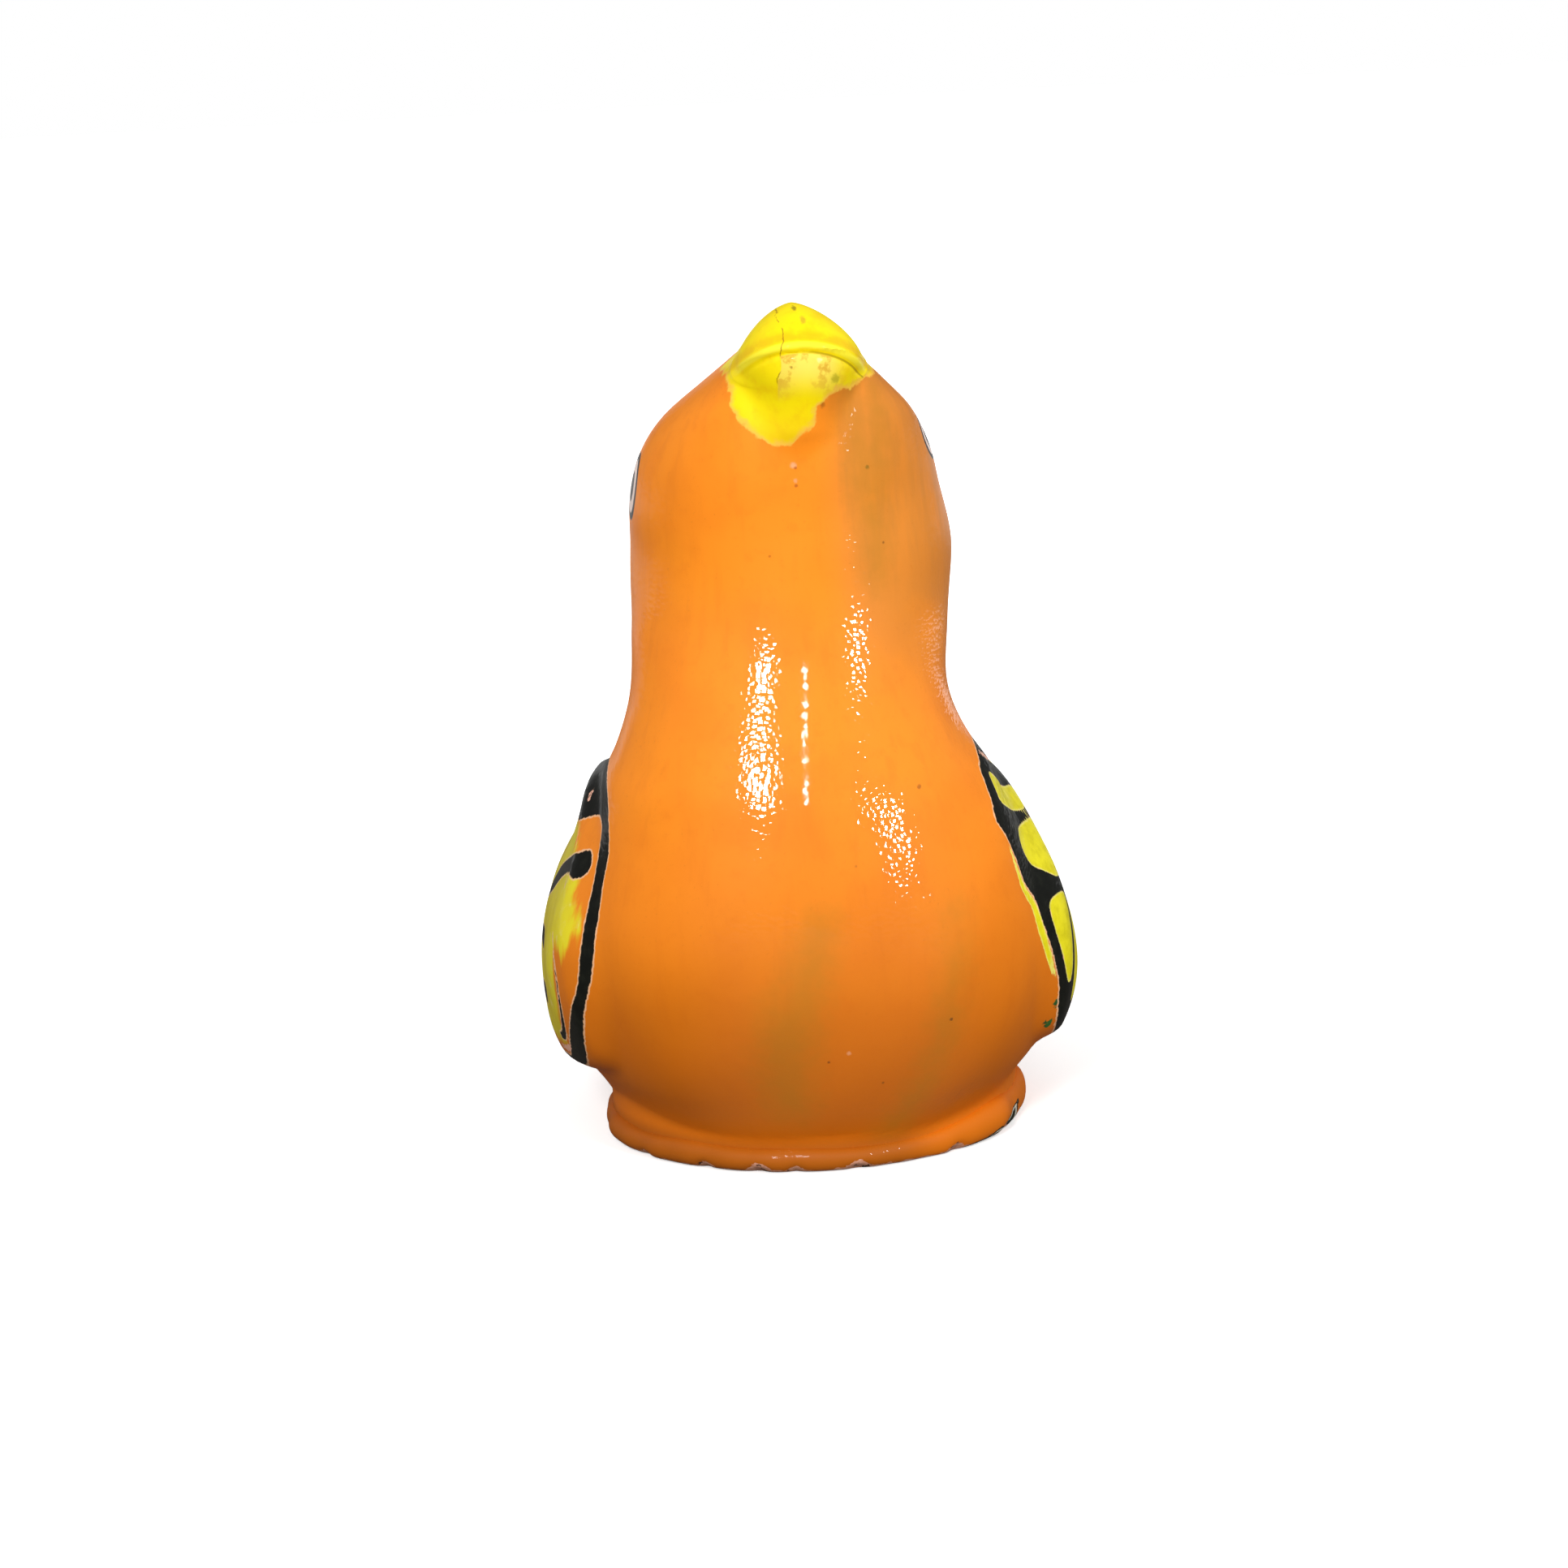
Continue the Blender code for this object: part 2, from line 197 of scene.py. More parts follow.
def pear_width(z):
    """Half width of the body at height z."""
    return cubic_through(np.array(PEAR) * (CROWN, BELLY / 2), z)


def tail_rib(place, share, widest):
    """A rib of the tail, whose middle lies on the straight line from the mouthpiece to the rump."""
    rump = np.array(BODY_RIBS[0][:4]) * (BREAST, CROWN, BREAST, CROWN)
    middle = TAIL_END * (1 - place) + (rump[:2] + rump[2:]) / 2 * place
    rump_thickness = np.linalg.norm(rump[:2] - rump[2:])
    thickness = TAIL_THICKNESS + (rump_thickness - TAIL_THICKNESS) * place ** TAIL_SWELL
    tilt = TAIL_TILT[0] * (1 - place) + TAIL_TILT[1] * place
    half = np.array([-math.sin(tilt), math.cos(tilt)]) * thickness / 2
    return (*(middle + half), *(middle - half), share, widest)


body_ribs = [np.array(rib) * (BREAST, CROWN, BREAST, CROWN, 1, 1) for rib in BODY_RIBS]
ribs = np.array([tail_rib(*rib) for rib in TAIL_RIBS] + body_ribs)
print(len(ribs), "ribs from the mouthpiece to the face")

# %% [markdown]
# ## A skin over the ribs
#
# A rib's outline is a superellipse, a little squarer than an ellipse, as smoothed clay is. Its
# half width isn't kept with the rib: it is read from the height of each point. That way the front
# view stays the pear that one sees, however the ribs turn.
#
# The ribs are spread so that neighbouring rows are about as far apart on the breast as on the tail,
# because a mesh of even cells takes relief and paint evenly.

# %% The ribs' rings
AROUND = 276              # points in a ring
ROWS = 246                # rings
CLOSER_AT_WINGS = 0.35    # share by which columns are closer at the sides than the mean


def even_ribs(rows):
    """Ribs at even steps of arc length, where a step is the longer of its move at the front and at
    the back."""
    fine = smooth_through(ribs, 60)
    move = np.diff(fine[:, :4], axis=0)
    step = np.maximum(np.hypot(move[:, 0], move[:, 1]), np.hypot(move[:, 2], move[:, 3]))
    length = np.concatenate([[0], np.cumsum(step)])
    wanted = np.linspace(0, length[-1], rows)
    return np.stack([np.interp(wanted, length, column) for column in fine.T], axis=1)


def rib_rings(rows_of_ribs, inset=0.0, lowest=BELLY_LIFT):
    """Rings of points, one a rib: up = cos(angle) and side = sin(angle), each to the power
    2 / ROUNDNESS, times the rib's reach and the pear's width, both made less by the inset. Points
    under the lowest height are put at it."""
    back, front = rows_of_ribs[:, 0:2], rows_of_ribs[:, 2:4]
    share, widest = rows_of_ribs[:, 4:5], rows_of_ribs[:, 5:6]
    span = back - front
    length = np.linalg.norm(span, axis=1, keepdims=True)
    turn = np.linspace(0, 2 * math.pi, AROUND, endpoint=False)[None, :]
    angle = turn + CLOSER_AT_WINGS / 2 * np.sin(2 * turn)
    up, side = (np.sign(part) * np.abs(part) ** (2 / ROUNDNESS)
                for part in (np.cos(angle), np.sin(angle)))
    middle = front + span * widest
    reach = np.where(up >= 0, (1 - widest) * length, widest * length)
    reach = np.maximum(reach - inset, 0) * up
    y = middle[:, 0:1] + span[:, 0:1] / length * reach
    z = middle[:, 1:2] + span[:, 1:2] / length * reach
    wide = pear_width(z) * (1 - share) + TAIL_WIDTH / 2 * share
    x = np.maximum(wide - inset, 0) * side
    return np.stack([x, y, np.maximum(z, lowest)], axis=-1)


outer_ribs = even_ribs(ROWS)
plain = rib_rings(outer_ribs)
print("rings:", plain.shape, "widest", round(float(np.ptp(plain[..., 0])), 2), "mm")

# %% [markdown]
# ## The folded wings
#
# The wings stand out from the sides by about a millimetre, with an edge that was softened with a wet
# sponge. They are the same skin, moved outwards inside the wing's outline. The outline is drawn from
# the side, and the signed distance to it says how far a point lies inside. The relief rises softly
# towards the breast, where the two surfaces run into each other, and more steeply at the other edges.

# %% Wing relief
WING_RELIEF = 1.1
SOFT_EDGE = 4.2       # width of the rise where the wing runs into the breast
FIRM_EDGE = 1.3       # and along its lower and back edges
WING_OUTLINE = ((-0.33, 0.445), (-0.56, 0.375), (-0.70, 0.275), (-0.62, 0.170), (-0.44, 0.112),
                (0.00, 0.098), (0.50, 0.140), (0.95, 0.215), (1.38, 0.325), (0.92, 0.405), (0.40, 0.455),
                (-0.02, 0.472))


def near_line(points, line, across=1.0):
    """Distance from points of a drawing to a line, and how many of its pieces lie before that place:
    the foot of the perpendicular, held between a piece's ends. Across is the length of the drawing's
    first unit at each point, where that isn't 1."""
    best = np.full(len(points), np.inf)
    along = np.zeros(len(points))
    scale = np.stack([np.broadcast_to(across, len(points)), np.ones(len(points))], axis=1)
    for i, (a, b) in enumerate(zip(line[:-1], line[1:])):
        way = (b - a) * scale
        off = (points - a) * scale
        t = np.clip((off * way).sum(1) / np.maximum((way * way).sum(1), 1e-9), 0, 1)
        away = np.linalg.norm(off - t[:, None] * way, axis=1)
        along = np.where(away < best, i + t, along)
        best = np.minimum(away, best)
    return best, along


def inside_shape(points, outline):
    """Signed distance to a closed outline, positive inside. A point is inside where a ray from it
    crosses the outline an odd number of times."""
    closed = np.vstack([outline, outline[:1]])
    away, _ = near_line(points, closed)
    odd = np.zeros(len(points), dtype=bool)
    for a, b in zip(closed[:-1], closed[1:]):
        spans = (a[1] > points[:, 1]) != (b[1] > points[:, 1])
        rise = np.where(b[1] == a[1], 1e-12, b[1] - a[1])
        odd ^= spans & (points[:, 0] < a[0] + (points[:, 1] - a[1]) / rise * (b[0] - a[0]))
    return np.where(odd, away, -away)


def closed_curve(points, steps=8):
    """A smooth closed outline through a few points."""
    rows = np.asarray(points, dtype=float)
    looped = np.vstack([rows[-2:], rows, rows[:3]])
    curve = smooth_through(looped, steps)
    return curve[2 * steps:(2 + len(rows)) * steps]


wing_outline = closed_curve(np.array(WING_OUTLINE) * (BREAST, CROWN))
side_view = plain[..., 1:3].reshape(-1, 2)
into_wing = inside_shape(side_view, wing_outline).reshape(plain.shape[:2])
SOFT_FROM = (4.0, 14.0)     # the edge softens forward of this y, over this many mm
SOFT_ABOVE = (6.0, 8.0)     # and above this height
towards_breast = np.clip((SOFT_FROM[0] - plain[..., 1]) / SOFT_FROM[1], 0, 1)
towards_breast *= np.clip((plain[..., 2] - SOFT_ABOVE[0]) / SOFT_ABOVE[1], 0, 1)
relief = WING_RELIEF * eased(into_wing / (FIRM_EDGE + (SOFT_EDGE - FIRM_EDGE) * towards_breast))
winged = rib_rings(outer_ribs, -relief)
print("wing relief on", int((relief > 0).sum()), "of", relief.size, "points")

# %% [markdown]
# ## Closing the ends
#
# The mouthpiece was trimmed flat with a wire and its edge rubbed round. The crown is a low dome. Both
# are made from the last ring of the skin: each further ring is a smaller copy, moved along the way
# that the end faces. A single point closes each end, so the skin holds water.

# %% End rings
END_EDGE = 0.6        # radius of the mouthpiece's edge
DOME_RISE = 1.2       # how far the crown bulges over its last ring
CAP_ROWS = 56


def pull_in(ring, distance):
    """Move each point of a ring straight towards the ring's middle by a distance."""
    middle = ring.mean(axis=0)
    away = ring - middle
    length = np.linalg.norm(away, axis=1, keepdims=True)
    return middle + away * np.maximum(1 - distance / length, 0)


def mouthpiece_rings(rings):
    """A quarter circle of edge, then ever smaller copies of the flat end."""
    end, start = rings[0], rings[3]
    outwards = end.mean(axis=0) - start.mean(axis=0)
    depth = np.linalg.norm(outwards)
    outwards = outwards / depth
    turns = np.linspace(0, math.pi / 2, 6)[1:]
    edge = [pull_in(start, END_EDGE * (1 - math.cos(a))) + outwards * depth * math.sin(a) for a in turns]
    flat = [edge[-1].mean(axis=0) + (edge[-1] - edge[-1].mean(axis=0)) * s for s in (0.75, 0.5, 0.25)]
    return np.array((edge + flat)[::-1])


def dome_rings(ring, rise, rows):
    """Copies of a ring scaled by cos(a) about its middle and raised by sin(a) of the rise."""
    middle = ring.mean(axis=0)
    span = outer_ribs[-1, 0:2] - outer_ribs[-1, 2:4]
    facing = np.array([0, -span[1], span[0]]) / np.linalg.norm(span)
    a = np.linspace(0, math.pi / 2, rows + 1)[1:-1, None, None]
    return middle + (ring - middle)[None] * np.cos(a) + facing * rise * np.sin(a)


def with_ends(rings):
    """All rings of the bird, from the middle of the mouthpiece's flat end to the top of the dome."""
    dome = dome_rings(rings[-1], DOME_RISE, CAP_ROWS)
    return np.concatenate([mouthpiece_rings(rings), rings[3:], dome])


bird = with_ends(winged)
print("the skin has", bird.shape[0], "rings of", bird.shape[1], "points")

# %% [markdown]
# ## The bill
#
# The bill has two halves that meet at a mouth line, and the upper one hangs over with a small rolled
# bead. It was pinched out of the head while the clay was wet, so there is no seam between the two. A
# ray is sent from the middle of the head through every point of the skin. Where the ray leaves the
# bill further out than it leaves the head, the point moves out to the bill. A smooth maximum of the
# two distances rounds the join and fills the throat under the bill.

# %% Bill
HEAD_MIDDLE = np.array([0.0, -3.0, 49.4])
MOUTH = np.array([-0.457 * BREAST, 0.949 * CROWN])    # y and height of its corners
BILL_SLOPE = math.radians(21)
BILL_ROOT = 4.0           # how far the bill reaches back into the head
BILL_HALF_WIDTH = 4.3
UPPER = (5.9, 4.3)        # length and height of the upper half
LOWER = (5.8, 4.25)       # and of the lower one
BEAD = (0.17, 0.25, 0.34)     # how far it stands out, its height over the mouth and its half width
GROOVE = (-0.08, -0.24, 0.16)     # the same of the groove under the mouth
BEAD_FADES = (-4.2, 1.6)      # x where bead and groove end at the left, and over how many mm
HEAD_REACH = 13.0             # only points this near to the middle of the head are moved
JOIN = (0.6, 4.2)         # how far the join with the head is rounded, above and at the throat
MOUTH_BEND = 0.045        # how fast the mouth drops to its corners
MOUTH_TOP = -0.6          # where it is highest
THROAT = (0.35, 0.45, 0.36)   # rays that aim lower than this, over this range and this half width


def half_bill(along, up, across, length, height):
    """How far inside a half bill a point lies, from 1 on its axis through 0 at its skin. The width
    falls as (1 - s^2.7)^0.5 and the height as (1 - s^2.4)^0.5 of the way s to the tip. Across the
    bill the outline is |x|^1.5 + |u|^1.5, which comes to a soft ridge."""
    s = np.clip(along / length, 0, 1)
    root = 1 + np.clip(along, -BILL_ROOT, 0) / BILL_ROOT * 0.2
    width = BILL_HALF_WIDTH * root * (1 - s ** 2.7) ** 0.5 + 1e-4
    tall = height * root * (1 - s ** 2.4) ** 0.5 + 1e-4
    shape = 1 - (np.abs(across) / width) ** 1.5 - (np.abs(up) / tall) ** 1.5
    return np.where((along > -BILL_ROOT) & (along < length), shape, -1.0)


def bill_reach(directions, samples=240, furthest=14.0):
    """Distance along each ray to where it leaves the bill: the last sample inside, refined by a
    straight line between the two samples around the skin."""
    forward = np.array([0, -math.cos(BILL_SLOPE), math.sin(BILL_SLOPE)])
    upward = np.array([0, math.sin(BILL_SLOPE), math.cos(BILL_SLOPE)])
    start = HEAD_MIDDLE - np.array([0, *MOUTH])
    t = np.linspace(0, furthest, samples)[None, :]
    along = start @ forward + t * (directions @ forward)[:, None]
    up = start @ upward + t * (directions @ upward)[:, None]
    across = t * directions[:, 0:1]
    upper = np.where(up >= -0.15, half_bill(along, np.maximum(up, 0), across, *UPPER), -1.0)
    lower = np.where(up <= 0.15, half_bill(along, np.minimum(up, 0), across, *LOWER), -1.0)
    inside = np.maximum(upper, lower)
    last = samples - 1 - np.argmax(inside[:, ::-1] > 0, axis=1)
    hit = (inside > 0).any(axis=1)
    row = np.arange(len(directions))
    after = np.minimum(last + 1, samples - 1)
    f0, f1 = inside[row, last], inside[row, after]
    part = np.clip(f0 / np.maximum(f0 - f1, 1e-9), 0, 1)
    return np.where(hit, t[0, last] + part * (t[0, after] - t[0, last]), 0.0)


def smooth_max(a, b, width):
    """The larger of two numbers, with a parabola where they are within the width of each other."""
    h = np.clip(0.5 + 0.5 * (b - a) / width, 0, 1)
    return a * (1 - h) + b * h + width * h * (1 - h)


def mouth_height(points):
    """Height over the mouth, and the way along the bill from the corners. The mouth is a plane that
    bends down to the corners with the square of the distance from the middle."""
    away = points[..., 1:3] - MOUTH
    up = away @ np.array([math.sin(BILL_SLOPE), math.cos(BILL_SLOPE)])
    up = up + MOUTH_BEND * (points[..., 0] - MOUTH_TOP) ** 2
    along = away @ np.array([-math.cos(BILL_SLOPE), math.sin(BILL_SLOPE)])
    return up, along


def pinch_bill(points):
    """Move the points of the head out to the bill, and roll the bead along the upper mouth."""
    near = np.linalg.norm(points - HEAD_MIDDLE, axis=1) < HEAD_REACH
    ray = points[near] - HEAD_MIDDLE
    head = np.linalg.norm(ray, axis=1)
    ray = ray / head[:, None]
    bill = bill_reach(ray)
    throat = np.clip((THROAT[0] - ray[:, 2]) / THROAT[1], 0, 1) ** 1.5
    throat = throat * np.exp(-(ray[:, 0] / THROAT[2]) ** 2)
    reach = smooth_max(head, bill, JOIN[0] + (JOIN[1] - JOIN[0]) * throat)
    moved = HEAD_MIDDLE + ray * reach[:, None]
    up, along = mouth_height(moved)
    on_bill = np.clip((bill - head + 0.3) / 0.8, 0, 1)
    rolled = sum(out * np.exp(-((up - place) / half) ** 2) for out, place, half in (BEAD, GROOVE))
    fade = np.clip((moved[:, 0] - BEAD_FADES[0]) / BEAD_FADES[1], 0, 1)
    moved += ray * (rolled * on_bill * fade)[:, None]
    made = points.copy()
    made[near] = moved
    return made


shape = bird.shape
bird = pinch_bill(bird.reshape(-1, 3)).reshape(shape)
print("the bill's tip is at y", round(float(bird[..., 1].min()), 2), "or the breast's front")

# %% [markdown]
# ## Uneven clay
#
# Nothing pressed from soft clay is even. The neck of this bird leans a millimetre to one side, and its
# shoulders are a little fuller than the mould's. On top of that, a few long waves of a tenth of a
# millimetre, too faint to see as shapes, break up the reflections the way clay does.

# %% Lean and unevenness
# height, sideways shift
LEAN = ((0, 0.0), (2.5, -0.05), (5, 0.05), (8, -0.03), (10.5, -0.16), (13, -0.34), (16, -0.5),
        (19, -0.54), (22, -0.6), (25, -0.85), (28, -1.1), (31, -1.08), (34, -0.78), (37, -0.45),
        (40, -0.2), (44, -0.45), (47, -0.35), (50, -0.05), (52, 0.05), (54, 0.0), (57, -0.3))
# height, share by which the bird is wider than its ribs
FULLER = ((0, 0.0), (2.5, 0.012), (5, -0.006), (8, -0.008), (11, -0.016), (14, -0.023), (18, -0.023),
          (21, -0.012), (24, 0.016), (25.5, 0.030), (27, 0.010), (30, -0.014), (35, -0.002),
          (40, -0.012), (44, -0.019), (48, -0.008), (51, 0.0))
LEAN_ENDS = (16.0, 12.0)      # the lean is gone behind this y, and full this many mm before it
WAVE_HEIGHT = 0.16
# turn per mm along x, y and z, and where each wave starts
WAVES = ((0.31, 0.17, 0.23, 0.4), (0.47, -0.29, 0.19, 1.7), (-0.21, 0.53, 0.37, 3.1),
         (0.67, 0.41, -0.59, 5.2))


def uneven_clay(points, waves=0.0):
    """Lean and widen by height, fading out towards the tail, then add a sum of sine waves along the
    level direction away from the upright middle line. The waves are 7 to 20 mm long."""
    near = eased((LEAN_ENDS[0] - points[..., 1]) / LEAN_ENDS[1])
    made = points.copy()
    made[..., 0] *= 1 + near * cubic_through(FULLER, points[..., 2])
    made[..., 0] += near * cubic_through(LEAN, points[..., 2])
    wave = sum(np.sin(points @ np.array(w[:3]) + w[3]) for w in WAVES) / len(WAVES)
    away = points * np.array([1.0, 0.8, 0.0])
    away = away / (np.linalg.norm(away, axis=-1, keepdims=True) + 2.0)
    return made + away * wave[..., None] * waves


bird = uneven_clay(bird, WAVE_HEIGHT)

# %% [markdown]
# ## The foot
#
# A flat oval disc was pressed onto the belly so that the bird would sit. Clay squeezed out at its rim
# and was left as it came: thin in front, thick and raised at one side, lumpy, and chipped along the
# lower edge. So the rim is a half circle carried round an oval, with lumps added where the photo
# shows them. The belly was smoothed down onto it, which leaves only a shallow crease over the rim.

# %% Foot
FOOT_HALF = np.array([14.35, 14.1])
FOOT_HEIGHT = 1.65
FOOT_AROUND = 300
# place round the rim in degrees (-90 is the front, 0 is +X), how far it stands out, its half width
RIM_LUMPS = ((-10, 0.10, 9), (-24, -0.15, 6), (-38, 0.35, 8), (-62, -0.10, 8), (-120, 0.15, 14),
             (-165, 0.20, 12), (60, 0.25, 15), (118, -0.25, 12))
# place, how much higher the rim is there, half width
RIM_RISE = ((-8, 1.15, 16), (-36, 0.80, 18), (-66, -0.15, 10), (-170, 0.10, 22), (85, 0.45, 40))
RIM_CHIPS = ((-128, 0.34, 1.6), (-112, 0.42, 2.2), (-102, 0.30, 1.5), (-85, 0.40, 2.4), (-55, 0.36, 2.0),
             (-33, 0.30, 2.8), (-150, 0.25, 2.0), (20, 0.30, 2.5), (75, 0.4, 3.0), (140, 0.35, 2.0))
CHIPS_AT = (0.20, 0.16)       # place of the chips in the rim's profile and their half width there


def bumps(degrees, table):
    """Sum of bell curves round the rim: height times exp(-(turn / half width)^2)."""
    total = np.zeros_like(degrees)
    for place, height, half in table:
        turn = (degrees - place + 180) % 360 - 180
        total += height * np.exp(-(turn / half) ** 2)
    return total


def foot_rings(rows=22):
    """The rim's profile runs from the underside's edge (v = 0) round to the top (v = 1) as half a
    superellipse. Lumps push it out at mid height, and chips bite into its lower third."""
    degrees = np.linspace(-180, 180, FOOT_AROUND, endpoint=False)
    turn = np.radians(degrees)[None, :]
    v = np.linspace(0, 1, rows)[:, None]
    rim = np.sin(math.pi * v) ** 0.6
    lump = bumps(degrees, RIM_LUMPS)[None, :] * np.sin(math.pi * v)
    chip = bumps(degrees, RIM_CHIPS)[None, :] * np.exp(-((v - CHIPS_AT[0]) / CHIPS_AT[1]) ** 2)
    wobble = 0.05 * np.sin(7 * turn + 1.0) + 0.04 * np.sin(13 * turn + 2.0) + 0.03 * np.sin(29 * turn)
    out = -1.0 + rim + lump - chip + wobble
    x = (FOOT_HALF[0] + out) * np.cos(turn)
    y = (FOOT_HALF[1] + out) * np.sin(turn)
    top = FOOT_HEIGHT + bumps(degrees, RIM_RISE)[None, :]
    top = top + 0.08 * np.sin(turn * 5) + 0.05 * np.sin(turn * 11 + 2)
    z = top * (0.5 - 0.5 * np.cos(math.pi * v))
    return np.stack([x, y, z], axis=-1)


CREASE = 0.965        # the belly's oval over the rim, as a share of the foot's
SMOOTHED = (2.0, 7.5)     # heights between which the belly was pulled down onto the foot
OUTER = (0.6, 0.25)       # from this share of the oval outwards, over this much more of it


def smooth_down(points):
    """Push the lowest part of the belly out to an oval a little inside the rim: a smooth step of the
    height, times a smooth step that leaves the middle of the underside alone."""
    x, y, z = points[..., 0], points[..., 1], points[..., 2]
    oval = np.hypot(x / FOOT_HALF[0], y / FOOT_HALF[1])
    pull = eased((SMOOTHED[1] - z) / (SMOOTHED[1] - SMOOTHED[0])) * eased((oval - OUTER[0]) / OUTER[1])
    wanted = oval + pull * np.maximum(CREASE - oval, 0)
    share = np.where(oval > 0.1, wanted / np.maximum(oval, 0.1), 1.0)
    made = points.copy()
    made[..., :2] *= share[..., None]
    return made


bird = smooth_down(bird)
foot = foot_rings()
print("foot", np.round(np.ptp(foot.reshape(-1, 3), axis=0), 2), "mm")

# %% [markdown]
# ## The hollow and the air's way
#
# The whistle is hollow. The hollow is the same shape as the bird, one wall further in. The windway is
# a flat slot from the mouthpiece to the window, and past the window the clay comes to an edge that
# splits the air. Both are cut out of the solid form, so the walls are real ones.

# %% Cutters
WALL = 3.2                    # thickness of the clay round the hollow
FLOOR = 4.2                   # and the height of the hollow's floor
WINDWAY = (8.8, 1.8)          # width and height of the slot
WINDOW = 8.4                  # length of the opening along the slot
LABIUM_DEPTH = 2.1            # how far inside the skin the edge lies
LABIUM_SLOPE = math.radians(32)
EDGE_AT = 0.26                # the labium's place on the way from the rump's rib to the one before
SLOT_FROM = -6.4              # the slot is cut from before the mouthpiece's end
AIR_EXIT = (5.0, 3.0)         # how far the window's cut runs past the labium, and into the hollow


def hollow_rings():
    """The bird's own ribs from the rump up into the head, drawn one wall further in."""
    inner = np.array([tail_rib(0.74, 0.60, 0.42)] + body_ribs[:8])
    return rib_rings(smooth_through(inner, 8), WALL, FLOOR)[:, ::4]


def air_outline():
    """The air's way from the side, as corners measured along and under the windway's middle line."""
    sections = np.array([tail_rib(*rib) for rib in TAIL_RIBS] + body_ribs[:1])
    mouth = (sections[0, 0:2] + sections[0, 2:4]) / 2
    rump, before = sections[3, 2:4], sections[2, 2:4]
    clay = (before - rump) / np.linalg.norm(before - rump)
    skin = rump * (1 - EDGE_AT) + before * EDGE_AT
    edge = skin + np.array([-clay[1], clay[0]]) * LABIUM_DEPTH
    length = np.linalg.norm(edge - mouth)
    along = (edge - mouth) / length
    down = np.array([-along[1], along[0]])
    half = WINDWAY[1] / 2
    past = 2 * WALL
    start = length - WINDOW
    beyond, deep = length + AIR_EXIT[0], -AIR_EXIT[1]
    corners = ((SLOT_FROM, -half), (start, -half), (start, deep), (beyond, deep), (beyond, deep / 3),
               (length, 0.0), (length + past / math.tan(LABIUM_SLOPE), past), (start, past),
               (start, half), (SLOT_FROM, half))
    return np.array([mouth + along * a + down * b for a, b in corners])


def slab(outline, width):
    """Two copies of a side outline, half the width to each side."""
    return np.array([[(x, y, z) for y, z in outline] for x in (-width / 2, width / 2)])


hollow = uneven_clay(hollow_rings())
air = slab(air_outline(), WINDWAY[0])
print("hollow", np.round(np.ptp(hollow.reshape(-1, 3), axis=0), 1), "mm")

# %% [markdown]
# ## From rings to solids
#
# Each form becomes a closed mesh: four-sided faces between its rings and a fan of triangles, or one
# flat face, over each end. The volume's sign tells whether the faces point outwards. Booleans then
# join the foot to the bird and cut the hollow and the air's way. The results are applied, so what
# follows paints the finished surface.

# %% Solids
def closed_mesh(name, rings, flat_ends=False):
    """Mesh object of a row of closed rings. The ends are fans from their middle points, or, for an
    end that isn't star-shaped, one flat face each."""
    rows, columns = rings.shape[:2]
    points = rings.reshape(-1, 3)
    faces = grid_faces(rows, columns).tolist()
    first = np.arange(columns)
    last = first + (rows - 1) * columns
    if flat_ends:
        faces += [first[::-1].tolist(), last.tolist()]
    else:
        points = np.vstack([points, rings[0].mean(axis=0), rings[-1].mean(axis=0)])
        low_pole = np.full(columns, rows * columns)
        faces += np.stack([np.roll(first, -1), first, low_pole], axis=1).tolist()
        faces += np.stack([last, np.roll(last, -1), low_pole + 1], axis=1).tolist()
    a, b, c = rings[:-1], np.roll(rings, -1, axis=1)[:-1], rings[1:]
    centre = points.mean(axis=0)
    if np.einsum("ijk,ijk->", np.cross(b - a, c - a), a - centre) < 0:
        faces = [face[::-1] for face in faces]
    return placed(name, points, faces)


def join_or_cut(target, other, operation):
    """Apply one exact Boolean, keep the material of the cutter's faces, and throw the cutter away."""
    step = target.modifiers.new(operation.lower(), 'BOOLEAN')
    step.operation = operation
    step.solver = 'EXACT'
    step.material_mode = 'TRANSFER'
    step.object = other
    graph = bpy.context.evaluated_depsgraph_get()
    result = bpy.data.meshes.new_from_object(target.evaluated_get(graph))
    target.modifiers.clear()
    target.data = result
    bpy.data.objects.remove(other, do_unlink=True)


painted = bpy.data.materials.new("varnished_paint_on_fired_clay")
bare = bpy.data.materials.new("bare_fired_terracotta")
whistle = closed_mesh("clay_bird", bird)
whistle.data.materials.append(painted)
solids = [("rim", foot, False, painted, 'UNION'), ("hollow_form", hollow, False, bare, 'DIFFERENCE'),
          ("air_form", air, True, bare, 'DIFFERENCE')]
for name, rings, flat, finish, operation in solids:
    form = closed_mesh(name, rings, flat)
    form.data.materials.append(finish)
    join_or_cut(whistle, form, operation)
mesh = whistle.data
mesh.name = "clay_bird"
mesh.shade_smooth()
mesh.set_sharp_from_angle(angle=math.radians(38))
triangles = sum(len(face.vertices) - 2 for face in mesh.polygons)
print("clay_bird:", len(mesh.vertices), "points,", triangles, "triangles")

# %% [markdown]
# ## Where the painter's marks lie
#
# The bird was painted without a stencil, so the marks differ from wing to wing. Each one is written
# down as a few points: the side, how many degrees it lies round from the breast, and its
# height in millimetres. A stroke also has its half width at each point, and a field is a closed
# outline. For every point of the mesh the distance to the nearest edge of a colour is then kept as an
# attribute, positive inside. The shader turns the distance into a crisp edge with a brush's wobble,
# which stays sharp on a mesh whose points lie a third of a millimetre apart.

